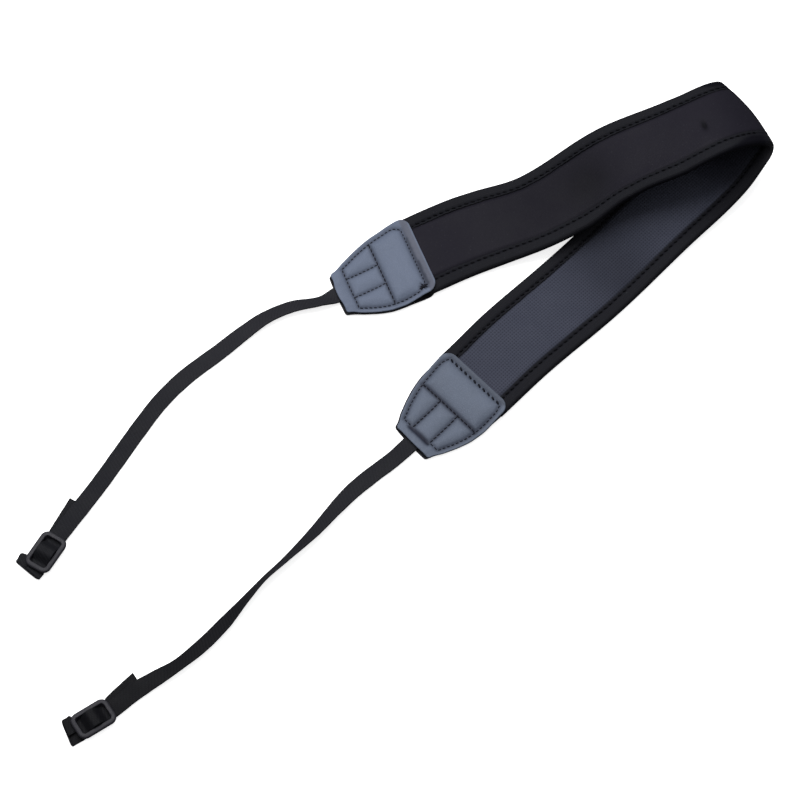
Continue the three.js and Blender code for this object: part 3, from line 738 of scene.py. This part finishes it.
def bindingPiece(name, side, seed, node):
    form = tapeForm
    s = np.arange(-lay["tapeTuck"], lay["padLength"] + lay["tapeTuck"] + 0.1, form["step"])[:, None]
    edge = padHalfWidth(s)
    angles = np.linspace(0, np.pi / 2, 7)[None, :]
    shares = np.linspace(0, 1, 12)[None, 1:]
    paths = {}
    for face in (-1, 1):
        width = tapeWidth(s, seed + face)
        turnD = form["round"] * (1 - np.cos(angles)) + 0 * s
        flatD = lerp(form["round"], width, shares)
        d = np.concatenate([turnD, flatD], axis=1)
        h = np.concatenate([tapeHeight(s, turnD, seed + face, face) * np.sin(angles),
                            tapeHeight(s, flatD, seed + face, face)], axis=1)
        inner = lerp(width, form["wall"] * 1.6, np.array([[0.3, 0.65, 1.0]]))
        innerD = np.concatenate([width, inner], axis=1)
        innerH = tapeHeight(s, innerD, seed + face, face) - form["wall"]
        paths[face] = (d, face * h, innerD, face * innerH)

    def joined(k):  # over the outer face, round the edge, over the inner face, and back inside
        under, over = paths[-1], paths[1]
        return np.concatenate([under[k][:, ::-1], over[k][:, 1:], over[k + 2], under[k + 2][:, ::-1]], axis=1)

    d, n = joined(0), joined(1)
    rings = place(s, side * (edge - d), n)
    steps = np.hypot(np.diff(d, axis=1), np.diff(n, axis=1))
    girth = np.concatenate([np.zeros((len(s), 1)), np.cumsum(steps, axis=1)], axis=1)
    girth = np.concatenate([girth, girth[:, -1:] + 1], axis=1)
    uv = np.stack([girth, np.broadcast_to(s, girth.shape)], axis=-1)
    outside = d.shape[1] - 2 * paths[1][2].shape[1]
    column = np.arange(d.shape[1])
    # painted shade in the tape's stitch valley
    paintedShade = bell(d, form["seamAt"], form["seamWide"]) * (column < outside)
    turn = paths[-1][0].shape[1]
    tip = span(s, form["tipFrom"], form["tipTo"])  # the painted shade is broader by the nose
    # painted shade on the tape's lining-side face inside the fold
    inward = smoothstep(column + form["tipShade"] * tip, turn - 7, turn - 1) * (column < outside)
    paintedShade = np.maximum(paintedShade, form["foldShadeStrength"] * smoothstep(s, *form["foldShadeFrom"]) * paintedFoldShade(s) * inward)
    # painted light on the tape's rounded edge at the nose tip
    paintedTipLight = bell(s, form["tipLightAt"], form["tipLightReach"])
    paintedTipLight = paintedTipLight * span(column, (turn - 5, turn - 1), (turn + 6, turn + 12))
    values = {"paintedShade": paintedShade, "paintedTipLight": paintedTipLight * (column < outside)}
    return riding(ringPiece(name, rings, uv, foldedTape, values), "binding", node)


def bindingThread(name, side, seed):
    rows = []
    whole = np.arange(-1, lay["padLength"] + 1.01, 0.5)
    before, after = whole[whole < tapeForm["sunkFrom"]], whole[whole > tapeForm["sunkTo"]]
    for face, s in ((-1, before), (-1, after), (1, whole)):  # sunk out of sight at the nose
        d = tapeForm["seamAt"] + 0.15 * waver(s, seed + 40 + face, 50)
        height = tapeHeight(s, d, seed + face, face)
        line = place(s, side * (padHalfWidth(s) - d), face * height)
        above = place(s, side * (padHalfWidth(s) - d), face * (height + 1))
        rows.append((line, (above - line) / mm, tapeStitch))
    return threadPiece(name, rows, "tape")


for edge, side, seed in (("Upper", 1, 21), ("Lower", -1, 31)):
    tape = bindingPiece(f"binding{edge}", side, seed, f"binding_{edge.lower()}")
    thread = bindingThread(f"binding{edge}Thread", side, seed)
print("bindings made")

# end tabs, two quilted leatherette panels each
tabForm = {
    "wall": 1.25, "puff": 1.25, "puffReach": 3.4, "rounding": 0.5, "proud": 0.55, "lipHalf": 6,
    "stitchInset": 3.0, "narrowStitch": 46.4, "cornerReach": 6,
    "pinch": 0.35, "pinchAlong": (46, 54), "pinchAcross": (4.5, 8.5),
    "halo": {"left": 0.24, "right": 0.34}, "haloReach": 3.2,
    "lines": keyed(  # where the stitch lines of each tab run, from its wide edge and its middle
        "wide wideHalf transverse long border rim",
        ("left", 5.9, 18.3, 26.2, (6.3, -6.2), 0.75, 1.6), ("right", 3.5, 19.7, 24.2, (6.3, -7.0), 0.7, 0.1)),
    "slips": keyed(  # how each panel sits off true: across, and at its narrow end
        "across along slant lip",
        ("leftOver", 0, -0.2, 0, 0.9), ("leftUnder", -0.7, 0.9, 0, 0),
        ("rightOver", -0.4, -1.0, -0.03, 0.3), ("rightUnder", 0.4, 0, -0.06, 0)),
    "sewn": {  # how each line is sewn: its stitch, the depth and half-width of its channel, and the painted shade and painted halo of shade along it
        "left": keyed(
            "stitch depth wide shade halo",
            ("wide", "fine", 0.4, 0.9, 0.5), ("flank", "plain", 0.35, 0.8, 0.5),
            ("narrow", "plain", 0.35, 0.8, 0.6), ("transverse", "close", 0.5, 0.9, 0.65),
            ("long", "plain", 0.35, 0.8, 0.55), ("crease", None, 0.35, 0.65, 0.85, 0.1),
            ("tack", "tack", 0.2, 0.7, 0.85, 0)),
        "right": keyed(
            "stitch depth wide shade halo",
            ("wide", "bold", 0.4, 0.9, 0.45), ("flank", "plain", 0.4, 0.9, 0.55),
            ("narrow", "plain", 0.4, 0.9, 0.5), ("transverse", "close", 0.6, 1.0, 0.8),
            ("long", "close", 0.4, 0.9, 0.6), ("crease", None, 1.0, 1.4, 1.0, 0.1)),
    },
}
tabStitches = keyed(
    "length gap radius skew",
    ("fine", 1.7, 0.6, 0.28, 0.12), ("plain", 2.0, 0.6, 0.28, 0.1), ("close", 2.6, 0.3, 0.32, 0.12),
    ("bold", 2.7, 0.8, 0.58, 0.5), ("tack", 4.2, 0.2, 0.42, 0.3),
)
tabKnot = [  # stitches of the back-tack at the end of the left tab's wide row
    [(4.6, -19.0), (8.6, -19.8)], [(5.4, -20.4), (9.6, -18.8)], [(6.0, -18.0), (9.0, -20.8)],
    [(7.0, -21.2), (8.4, -17.4)], [(5.2, -21.0), (8.0, -19.2)], [(6.2, -19.4), (10.4, -20.2)],
]


def tabLines(end):  # the lines of one tab, each its kind and a row of (p, t) points
    form = tabForm
    own = form["lines"][end]
    p = np.linspace(own["wide"] + form["cornerReach"], form["narrowStitch"], 40)
    t = columnAt(tabRows, "half", p) - form["stitchInset"]
    narrow = t[-1]
    wideEnd = own["wideHalf"]
    turn = np.linspace(0, 1, 6)[:-1]
    cornerT = lerp(wideEnd, t[0], np.sin(turn * np.pi / 2))
    corner = np.stack([own["wide"] + form["cornerReach"] * turn, cornerT], 1)
    flank = np.concatenate([corner, np.stack([p, t], 1)])

    def across(at, high, low):
        return np.stack([np.full(30, at), np.linspace(high, low, 30)], 1)

    reach = columnAt(tabRows, "half", own["transverse"]) - form["stitchInset"]
    lines = [
        ("wide", across(own["wide"], wideEnd, -wideEnd)),
        ("flank", flank),
        ("flank", flank * [1, -1]),
        ("transverse", across(own["transverse"], reach, -reach)),
    ]
    along = np.linspace(own["transverse"], form["narrowStitch"], 20)
    lines += [("long", np.stack([along, np.full(20, side)], 1)) for side in own["long"]]
    rows = [(narrow, -narrow)] if end == "left" else [(narrow, 7.8), (-7.2, -narrow)]
    lines += [("narrow", across(form["narrowStitch"], high, low)) for high, low in rows]
    if end == "left":
        for start, offset in ((12, 0.8), (-4, 1.4)):  # fold along the wide row with painted shade in it, broader towards the back-tack
            bend = across(own["wide"] - offset, start, -19.5)
            bend[:, 0] += 0.2 * waver(bend[:, 1], 8, 30)
            lines.append(("crease", bend))
        lines += [("tack", np.array(ends)) for ends in tabKnot]
    else:  # gaping mouth of the webbing's pocket, a groove with painted shadow in it
        lines.append(("crease", across(form["narrowStitch"] + 1.2, 7.2, -6.4)))
    return lines


def tabStations():  # close together round the corners
    wide = lay["wideCorner"] * (1 - np.cos(np.linspace(0, np.pi / 2, 14)))
    narrow = lay["tabLength"] - lay["narrowCorner"] * (1 - np.cos(np.linspace(np.pi / 2, 0, 6)))
    return np.concatenate([wide, np.arange(lay["wideCorner"] + 0.7, narrow[0] - 0.3, 0.7), narrow])


def tabOutline():
    p = tabStations()
    t = tabHalfWidth(p)
    across = np.linspace(-1, 1, 40)
    return np.concatenate([
        np.stack([p, t], 1), np.stack([p, -t], 1),
        np.stack([0 * across, across * t[0]], 1),
        np.stack([0 * across + lay["tabLength"], across * t[-1]], 1),
    ])


def distanceTo(points, p, t, longest=5):  # to the nearest of a row of (p, t) points, joined by short steps
    spots = np.stack([p.ravel(), t.ravel()], 1)
    best = np.full(len(spots), 1e9)
    for a, b in zip(points[:-1], points[1:]):
        if np.hypot(*(b - a)) > longest:
            continue
        share = np.clip(((spots - a) @ (b - a)) / max((b - a) @ (b - a), 1e-9), 0, 1)
        best = np.minimum(best, np.linalg.norm(spots - a - share[:, None] * (b - a), axis=1))
    return best.reshape(p.shape)


def tabGrid():
    x = np.sin(np.linspace(-1, 1, 69) * np.pi / 2) * 0.25 + np.linspace(-1, 1, 69) * 0.75
    return np.meshgrid(tabStations(), x, indexing="ij")


def tabTop(end, p, x, t, down):  # outer face of a panel above the strap's middle plane, its painted channel shade and its border mask
    form = tabForm
    own = form["lines"][end]
    toStitch = np.full(p.shape, 1e9)
    groove, channelShade = np.zeros(p.shape), np.zeros(p.shape)
    for kind, points in tabLines(end):
        sewn = form["sewn"][end][kind]
        away = distanceTo(points, p, t)
        if sewn["stitch"]:
            toStitch = np.minimum(toStitch, away)
        groove = np.maximum(groove, sewn["depth"] * bell(away, 0, sewn["wide"]))
        # painted shade along each stitch line, with a broad painted halo round it
        halo = sewn.get("halo", form["halo"][end]) * bell(away, 0, form["haloReach"])
        near = bell(away, 0, 1.3 * sewn["wide"]) + halo
        channelShade = np.maximum(channelShade, sewn["shade"] * np.minimum(near, 1))
    toBorder = distanceTo(tabOutline(), p, t)
    swell = form["puff"] * (1 - np.exp(-(toStitch / form["puffReach"]) ** 1.5))
    rim = np.clip(1 - toBorder / form["rounding"], 0, 1)
    roundOff = form["rounding"] * (1 - np.sqrt(np.maximum(1 - rim ** 2, 0))) * 0.8
    pocket = form["pinch"] * smoothstep(p, *form["pinchAlong"]) * smoothstep(np.abs(t), *form["pinchAcross"])
    wall = form["wall"] - form["puff"] + (0 if down else form["proud"])
    top = tabInside(p, x) + wall + swell - groove - roundOff - pocket
    top = top + 0.05 * waver(t + 0.7 * p, 61, 21) * smoothstep(toStitch, 1, 4)
    strip = 1 - smoothstep(p, own["wide"] - 1.6, own["wide"] - 0.4)
    border = own["border"] * strip * smoothstep(p, 0, own["rim"])
    return np.maximum(top, tabInside(p, x) + 0.15), channelShade, border


def tabPlace(end, down, p, t, n):  # a place on a panel, which sits a little off true
    slip = tabForm["slips"][end + ("Under" if down else "Over")]
    reach = slip["lip"] * np.exp(-(t / tabForm["lipHalf"]) ** 4) + slip["along"] + slip["slant"] * t
    along = p + reach * smoothstep(p, 44, lay["tabLength"])
    return place(lay["padLength"] + along if end == "left" else -along, t + slip["across"], n)


def tabPanel(name, end, face, node):
    down = (end == "left") == (face == 1)
    p, x = tabGrid()
    t = x * tabHalfWidth(p)
    top, channelShade, border = tabTop(end, p, x, t, down)
    outside = tabPlace(end, down, p, t, face * top)
    inside = tabPlace(end, down, p, t, face * tabInside(p, x))
    rows, cols = p.shape
    total = rows * cols
    r, c = np.meshgrid(np.arange(rows - 1), np.arange(cols - 1), indexing="ij")
    corner = (r * cols + c).ravel()
    quads = np.stack([corner, corner + 1, corner + cols + 1, corner + cols], 1)
    loop = np.concatenate([
        np.arange(cols - 1), np.arange(rows - 1) * cols + cols - 1,
        (rows - 1) * cols + np.arange(cols - 1, 0, -1), np.arange(rows - 1, 0, -1) * cols])
    after = np.roll(loop, -1)
    flat = np.stack([t, p], -1).reshape(-1, 2)
    flat = np.concatenate([flat, flat + [0.6, 0.6], flat[loop] + [0.2, 0.2]])
    verts = np.concatenate([outside.reshape(-1, 3), inside.reshape(-1, 3)])
    lip = lerp(verts[loop], verts[loop + total], 0.25)  # cut edge, just under the skin
    verts = np.concatenate([verts, lip])
    rim = 2 * total + np.arange(len(loop))
    rimAfter = np.roll(rim, -1)
    skirt = np.stack([loop, after, rimAfter, rim], 1)
    walls = np.stack([rim, rimAfter, after + total, loop + total], 1)
    faces = np.concatenate([quads, quads + total, skirt, walls])
    cut = np.concatenate([np.zeros(total), np.ones(total + len(loop))])
    below = np.zeros(total + len(loop))
    values = {"cut": cut, "channelShade": np.append(channelShade, below), "border": np.append(border, below)}
    piece = makePiece(name, verts, faces.tolist(), list(flat[faces]), leatherettes[end], values)
    return riding(piece, "leatherette", node)


def tabThread(name, end):
    rows = []
    for face in (-1, 1):
        down = (end == "left") == (face == 1)
        for kind, points in tabLines(end):
            stitch = tabForm["sewn"][end][kind]["stitch"]
            if not stitch:
                continue
            p, t = points[:, 0], points[:, 1]
            x = t / tabHalfWidth(p)
            top = tabTop(end, p, x, t, down)[0]
            line = tabPlace(end, down, p, t, face * (top + 0.05))
            normals = tabPlace(end, down, p, t, face * (top + 1)) - line
            rows.append((line, normals / mm, tabStitches[stitch]))
    return threadPiece(name, rows, "tab")


tabArea = float(np.mean(2 * tabHalfWidth(np.linspace(0, 54, 400)))) * lay["tabLength"] * mm * mm
for end in ("left", "right"):
    thread = tabThread(f"tab{end.title()}Thread", end)
    for label, face in (("Outer", -1), ("Inner", 1)):
        panel = tabPanel(f"tab{end.title()}{label}", end, face, f"tab_{end}_{label.lower()}")
print("end tabs made")

# webbing straps
strapRoutes = {  # from each tab to its slider: place, roll on to the edge, height above the surface
    "left": table(
        "x y roll over",
        (-48, 89.4, 34, 0), (-62, 95.2, 26, 0), (-78, 97.7, 22, 0), (-93, 96.8, 12, 0), (-110, 94.6, 4, 0),
        (-136, 91.5, 0, 0), (-155, 86.3, 3, 0), (-172, 79.2, 3, 0), (-196, 68.1, 2, 0), (-211, 61.1, 3, 0.5),
        (-225, 55.1, 0, 1.4)),
    "right": table(
        "x y roll over",
        (-66, -14.2, 7, 0.3), (-82, -15.8, 6, 0), (-96, -18.2, 12, 0), (-110, -22.4, 27, 0),
        (-126, -27.6, 40, 0), (-148, -33, 58, 0), (-164, -36.2, 62, 0), (-180, -41, 52, 0),
        (-195, -45.6, 32, 0), (-211, -49.6, 27, 0), (-228, -52.1, 32, 0), (-242, -52, 14, 0.7),
        (-254, -52, 0, 1.4)),
}
sliderSeats = keyed(
    "x y heading loopEnd loopHeight loopTop loopBottom",
    ("left", -254.4, 42.3, 25.6, -14.6, 2.6, -0.6, 7.2),
    ("right", -282.1, -53.9, -0.3, -16.4, 2.4, 4.2, -1.2),
)
tailRoutes = {
    "left": [(11.4, 1.2), (15.9, 1.7), (24.9, 2.2), (34.4, 2.6)],
    "right": [(11.4, 2.6), (15.9, 3.9), (22.9, 5.5), (31.4, 7.3)],
}
webForm = {
    "width": 10, "thick": 1.1, "tuck": 24, "gap": 0.3, "step": 0.6,
    "slideEntry": 12, "slideExit": 8.5, "slideStep": 1.5,
    "main": {"reach": 6.9, "crest": 1.1, "height": 6.5, "drift": 8.5, "root": 10.4},
    "tail": {"reach": 5.6, "crest": 1.2, "height": 4.95, "drift": 5.2, "root": 7.4},
    "sliderLength": 22.8, "loopSteps": 7, "loopSlide": (0.25, 0.75), "loopSkew": 9.5, "cornerRound": 0.46,
}
webTones = {  # shares of painted sheen and of painted shade along each strap
    "left": table(
        "at pale dim", (0, 0.3, 0), (75, 0.4, 0), (125, 0.22, 0), (170, 0, 0), (240, 0, 0.05), (262, 0, 0.3),
        (300, 0, 0.3)),
    "right": table(
        "at pale dim", (0, 0, 0), (60, 0.1, 0), (100, 0.3, 0), (135, 0.2, 0), (170, 0, 0.42), (240, 0, 0.6),
        (300, 0, 0.65)),
}


def overBar(hump, low, along):
    return float(lerp(hump["height"], low, smoothstep(abs(along), hump["crest"], hump["reach"])))


def sliderWay(end):  # through the slider, round the end loop, back and out to the cut end
    form, seat = webForm, sliderSeats[end]
    bottom = form["thick"] / 2
    top = bottom + form["thick"] + form["gap"]
    way = [(a, 0, overBar(form["main"], top, a), 0)
           for a in np.arange(form["slideEntry"], -form["main"]["drift"] - 0.01, -form["slideStep"])]
    radius = (seat["loopHeight"] - bottom) / 2
    turnAt = seat["loopEnd"] + radius + form["thick"] / 2
    halfway = (turnAt - form["sliderLength"] / 2) / 2
    way.append((-form["main"]["root"], seat["loopTop"], top, 0.5))
    way.append((halfway, seat["loopTop"], lerp(top, seat["loopHeight"], 0.5), 1))
    for share in np.linspace(0, 1, form["loopSteps"]):
        slid = float(smoothstep(share, *form["loopSlide"]))
        across = lerp(seat["loopTop"], seat["loopBottom"], slid)
        up = bottom + radius * (1 + math.cos(math.pi * share))
        way.append((turnAt - radius * math.sin(math.pi * share), across, up, 1))
    way.append((halfway, seat["loopBottom"], bottom, 1))
    way.append((-form["tail"]["root"], seat["loopBottom"], bottom, 0.5))
    way += [(a, 0, overBar(form["tail"], bottom, a), 0)
            for a in np.arange(-form["tail"]["drift"], form["slideExit"] + 0.01, form["slideStep"])]
    return way + [(along, across, bottom, 0) for along, across in tailRoutes[end]]


def strapRoute(end):
    form, seat = webForm, sliderSeats[end]
    heading = math.radians(seat["heading"])
    spots, sides = [], []
    for share in np.linspace(0, 1, 4):
        p = lerp(form["tuck"], lay["tabLength"], share)
        s = lay["padLength"] + p if end == "left" else -p
        at = place(s, 0, 0) / mm + boxMiddle
        spots.append(at)
        sides.append(place(s, 1, 0) / mm + boxMiddle - at)
    rows = strapRoutes[end]
    for i, row in enumerate(rows):
        before, after = rows[max(i - 1, 0)], rows[min(i + 1, len(rows) - 1)]
        way = np.array([before["x"] - after["x"], before["y"] - after["y"]], float)
        way /= np.linalg.norm(way)
        lift = math.radians(row["roll"])
        rest = form["width"] / 2 * math.sin(lift) + form["thick"] / 2 * math.cos(lift)
        spots.append(np.array([row["x"], row["y"], rest + row["over"]]))
        sides.append(np.array([-way[1] * math.cos(lift), way[0] * math.cos(lift), -math.sin(lift)]))
    for along, across, up, turned in sliderWay(end):
        skew = math.radians(form["loopSkew"] * turned)
        along = along + across * math.tan(skew)
        spots.append(np.array([
            seat["x"] + along * math.cos(heading) - across * math.sin(heading),
            seat["y"] + along * math.sin(heading) + across * math.cos(heading), up]))
        sides.append(np.array([-math.sin(heading - skew), math.cos(heading - skew), 0.0]))
    return np.array(spots), np.array(sides)


def throughPoints(points, index, share):  # centripetal curve through points, at a share of one of its spans
    last = len(points) - 1
    p1, p2 = points[index], points[index + 1]
    p0 = points[index - 1] if index > 0 else 2 * p1 - p2
    p3 = points[index + 2] if index + 2 <= last else 2 * p2 - p1
    gaps = [max(np.linalg.norm(b - a), 0) ** 0.5 for a, b in ((p0, p1), (p1, p2), (p2, p3))]
    gaps[1] = gaps[1] if gaps[1] > 1e-4 else 1.0
    gaps[0] = gaps[0] if gaps[0] > 1e-4 else gaps[1]
    gaps[2] = gaps[2] if gaps[2] > 1e-4 else gaps[1]
    m1 = ((p1 - p0) / gaps[0] - (p2 - p0) / (gaps[0] + gaps[1]) + (p2 - p1) / gaps[1]) * gaps[1]
    m2 = ((p2 - p1) / gaps[1] - (p3 - p1) / (gaps[1] + gaps[2]) + (p3 - p2) / gaps[2]) * gaps[1]
    x = share
    return (p1 + m1 * x + (-3 * p1 + 3 * p2 - 2 * m1 - m2) * x ** 2 + (2 * p1 - 2 * p2 + m1 + m2) * x ** 3)


def strapLine(end):
    spots, sides = strapRoute(end)
    line, across = [], []
    for i in range(len(spots) - 1):
        steps = max(2, int(math.ceil(np.linalg.norm(spots[i + 1] - spots[i]) / webForm["step"])))
        for k in range(steps + (i == len(spots) - 2)):
            line.append(throughPoints(spots, i, k / steps))
            across.append(throughPoints(sides, i, k / steps))
    line, across = np.array(line), np.array(across)
    along = np.gradient(line, axis=0)
    along /= np.linalg.norm(along, axis=1)[:, None]
    across /= np.linalg.norm(across, axis=1)[:, None]
    normal = np.cross(along, across)
    return line, across, normal / np.linalg.norm(normal, axis=1)[:, None]


def webSection():  # flat band with rounded selvedges
    half, thick, r = webForm["width"] / 2, webForm["thick"] / 2, webForm["cornerRound"]
    points = []
    corners = ((half - r, thick - r), (r - half, thick - r), (r - half, r - thick), (half - r, r - thick))
    for start, corner in enumerate(corners):
        for turn in np.linspace(0, 1, 5):
            angle = (start + turn) * np.pi / 2
            points.append((corner[0] + r * np.cos(angle), corner[1] + r * np.sin(angle)))
        if start in (0, 2):
            mid = np.linspace(1, -1, 9)[1:-1] * (half - r) * (1 if start == 0 else -1)
            points += [(a, thick if start == 0 else -thick) for a in mid]
    return np.array(points)


def strapPiece(end, seed):
    line, across, normal = strapLine(end)
    section = webSection()
    walk = walkAlong(line)
    wide = 1 + 0.012 * waver(walk, seed, 19)
    rings = line[:, None] + across[:, None] * section[None, :, :1] * wide[:, None, None]
    rings = rings + normal[:, None] * section[None, :, 1:]
    sunk = np.minimum(rings[:, :, 2].min(axis=1), 0)
    rings[:, :, 2] -= sunk[:, None]
    girth = walkAlong(section)
    girth = np.append(girth, girth[-1] + 0.3)
    uv = np.stack(np.meshgrid(girth, walk, indexing="xy"), -1)
    rows, values = webTones[end], {}
    for key in ("pale", "dim"):
        tone = np.interp(walk, [row["at"] for row in rows], [row[key] for row in rows])
        values[key] = np.repeat(tone, len(section))
    piece = ringPiece(f"strap{end.title()}", (rings - boxMiddle) * mm, uv, wovenWebbing, values)
    return riding(piece, "webbing", f"strap_{end}"), walk[-1] * mm


for end, seed in (("left", 71), ("right", 72)):
    strap, strapLength = strapPiece(end, seed)
    print("strap", end, "length", round(strapLength, 4))
print("straps made")

# sliders, a rounded frame with a lower bar across its middle
sliderForm = {
    "length": 22.8, "width": 15.6, "rail": 2.7, "corner": 4.3, "slotCorner": 1.5, "slotFillet": 2.1,
    "base": 2.9, "thick": 2.5, "edge": 0.4, "outerEdge": 1.1, "cornerSteps": 9,
    "endDip": 0.25, "endDipFrom": (6, 10), "sideDrop": 1.6, "sideDropFade": (6.5, 9.5),
    "barHalf": 1.3, "barThick": 1.1, "barBase": 0.25, "barEdge": 0.45, "sharp": 50,
}


def roundedLoop(length, width, radius, count):
    points = []
    for cx, cy, start in ((1, 1, 0), (-1, 1, 1), (-1, -1, 2), (1, -1, 3)):
        for turn in np.linspace(0, 1, count):
            angle = (start + turn) * np.pi / 2
            x = cx * (length / 2 - radius) + radius * np.cos(angle)
            points.append((x, cy * (width / 2 - radius) + radius * np.sin(angle)))
    return np.array(points)


def sliderFrame(name):
    form = sliderForm
    rings = []
    inside = roundedLoop(form["rail"], form["thick"], form["edge"], 5)
    outside = roundedLoop(form["rail"], form["thick"], form["outerEdge"], 5)
    for a, b in np.where(inside[:, :1] > 0, outside, inside):
        inset = form["rail"] / 2 - a
        inner = form["slotCorner"] + (form["slotFillet"] if b < 0 else 0)
        corner = lerp(form["corner"], inner, inset / form["rail"])
        steps = form["cornerSteps"]
        loop = roundedLoop(form["length"] - 2 * inset, form["width"] - 2 * inset, corner, steps)
        dense = []
        for k, point in enumerate(loop):  # the straight sides are cut into four
            shares = (0, 0.25, 0.5, 0.75) if k % steps == steps - 1 else (0,)
            dense += [lerp(point, loop[(k + 1) % len(loop)], share) for share in shares]
        dense = np.array(dense)
        along = np.abs(dense[:, 0])
        dip = form["endDip"] * smoothstep(along, *form["endDipFrom"]) * (b > 0)
        dip += form["sideDrop"] * (1 - smoothstep(along, *form["sideDropFade"])) * (b < 0) * (a < 0)
        rings.append(np.column_stack([dense, np.full(len(dense), b + form["thick"] / 2) - dip]))
    rings = np.array(rings)
    count, around = rings.shape[:2]
    r, c = np.meshgrid(np.arange(count), np.arange(around), indexing="ij")
    r, c = r.ravel(), c.ravel()
    m, n = (r + 1) % count, (c + 1) % around
    faces = np.stack([r * around + c, r * around + n, m * around + n, m * around + c], 1)
    flat = rings.reshape(-1, 3)[:, :2] + rings.reshape(-1, 3)[:, 2:]
    return makePiece(name, rings.reshape(-1, 3) * mm, faces.tolist(), list(flat[faces]), mouldedPlastic)


def sliderBar(name):
    form = sliderForm
    profile = roundedLoop(2 * form["barHalf"], form["barThick"], form["barEdge"], 5)
    y = np.linspace(-1, 1, 9) * (form["width"] - form["rail"]) / 2
    rings = np.stack([np.column_stack([profile[:, 0], np.full(len(profile), a),
                                       profile[:, 1] + form["barBase"] + form["barThick"] / 2]) for a in y])
    uv = np.stack(np.meshgrid(np.arange(len(profile) + 1) * 0.35, y, indexing="xy"), -1)
    return ringPiece(name, rings * mm, uv, mouldedPlastic)


def sliderPiece(end):
    form, seat = sliderForm, sliderSeats[end]
    slider = sliderFrame(f"slider{end.title()}")
    bar = sliderBar("barTool")
    union = slider.modifiers.new("bar", "BOOLEAN")
    union.operation = "UNION"
    union.solver = "EXACT"
    union.object = bar
    joined = bpy.data.meshes.new_from_object(slider.evaluated_get(bpy.context.evaluated_depsgraph_get()))
    slider.modifiers.clear()
    slider.data = joined
    bpy.data.objects.remove(bar)
    joined.polygons.foreach_set("use_smooth", np.ones(len(joined.polygons), bool))
    joined.set_sharp_from_angle(angle=math.radians(form["sharp"]))
    turn = math.radians(seat["heading"])
    spots = np.empty(len(joined.vertices) * 3)
    joined.vertices.foreach_get("co", spots)
    spots = spots.reshape(-1, 3)
    middle = (np.array([seat["x"], seat["y"], form["base"]]) - boxMiddle) * mm
    x, y, z = spots.T
    turnedX = x * math.cos(turn) - y * math.sin(turn)
    turnedY = x * math.sin(turn) + y * math.cos(turn)
    turned = np.column_stack([turnedX, turnedY, z]) + middle
    joined.vertices.foreach_set("co", turned.ravel())
    joined.update()
    return riding(slider, "slider_plastic", f"slider_{end}")


for end in ("left", "right"):
    sliderPiece(end)
print("sliders made")

# floor, light and camera
studio = {
    "floor": 3.0, "floorDrop": 0.0002, "floorColor": (0.93, 0.93, 0.935), "floorBounce": 0.12,
    "floorGlow": 0.72, "worldTop": 0.8, "worldLow": 0.02,
    "keyPower": 34, "keySize": 1.5, "keyHeight": 1.6, "keyFar": 0.7, "keyRight": -0.35,
    "aim": (-1.18, -8.45, 0), "distance": 1800, "azimuth": -33.3, "elevation": 65, "focal": 3235 / 800,
}


def floorPiece():
    size, low = studio["floor"], -studio["floorDrop"]
    verts = [(-size, -size, low), (size, -size, low), (size, size, low), (-size, size, low)]
    material = bpy.data.materials.new("paleFloor")
    material.use_nodes = True
    tree = material.node_tree
    shader = tree.nodes["Principled BSDF"]
    seen = addNode(tree, "LightPath").outputs["Is Camera Ray"]  # the floor throws back less than it shows
    dim = tuple(c * studio["floorBounce"] for c in studio["floorColor"])
    tree.links.new(blendColor(tree, seen, dim, studio["floorColor"]), shader.inputs["Base Color"])
    tree.links.new(blendColor(tree, seen, (0, 0, 0), (1, 1, 1)), shader.inputs["Emission Color"])
    shader.inputs["Emission Strength"].default_value = studio["floorGlow"]
    shader.inputs["Roughness"].default_value = 0.9
    shader.inputs["Specular IOR Level"].default_value = 0.1
    floor = makePiece("floor", verts, [[0, 1, 2, 3]], None, material)


def addLight(name, power, size, spot, target):
    light = bpy.data.lights.new(name, "AREA")
    light.energy = power
    light.size = size
    lamp = bpy.data.objects.new(name, light)
    lamp.location = spot
    lamp.rotation_euler = (Vector(target) - Vector(spot)).to_track_quat("-Z", "Y").to_euler()
    bpy.context.scene.collection.objects.link(lamp)


def lightStudio():
    aim = Vector(studio["aim"]) * mm
    azimuth = math.radians(studio["azimuth"])
    far = Vector((-math.sin(azimuth), math.cos(azimuth), 0))
    right = Vector((math.cos(azimuth), math.sin(azimuth), 0))
    up = Vector((0, 0, 1))
    key = aim + far * studio["keyFar"] + right * studio["keyRight"] + up * studio["keyHeight"]
    addLight("overheadSoftbox", studio["keyPower"], studio["keySize"], key, aim)
    world = bpy.data.worlds.new("paleRoom")
    world.use_nodes = True
    tree = world.node_tree
    height = addNode(tree, "SeparateXYZ", Vector=addNode(tree, "TexCoord").outputs["Generated"]).outputs[2]
    glow = ramp(tree, height, 0.2, 1.0, studio["worldLow"], studio["worldTop"])
    seen = addNode(tree, "LightPath").outputs["Is Camera Ray"]
    tree.links.new(calc(tree, "MAXIMUM", glow, seen), tree.nodes["Background"].inputs[1])
    tree.nodes["Background"].inputs[0].default_value = (1, 1, 1, 1)
    bpy.context.scene.world = world
    bpy.context.scene.view_settings.view_transform = "Standard"


def addCamera():
    azimuth, elevation = math.radians(studio["azimuth"]), math.radians(studio["elevation"])
    flat = math.cos(elevation)
    back = Vector((math.sin(azimuth) * flat, -math.cos(azimuth) * flat, math.sin(elevation)))
    aim = Vector(studio["aim"]) * mm
    data = bpy.data.cameras.new("photoCamera")
    data.sensor_width = 36
    data.lens = 36 * studio["focal"]
    data.clip_end = 20
    camera = bpy.data.objects.new("photoCamera", data)
    camera.location = aim + back * studio["distance"] * mm
    camera.rotation_euler = (-back).to_track_quat("-Z", "Y").to_euler()
    bpy.context.scene.collection.objects.link(camera)
    bpy.context.scene.camera = camera


floorPiece()
lightStudio()
addCamera()
print("studio ready")
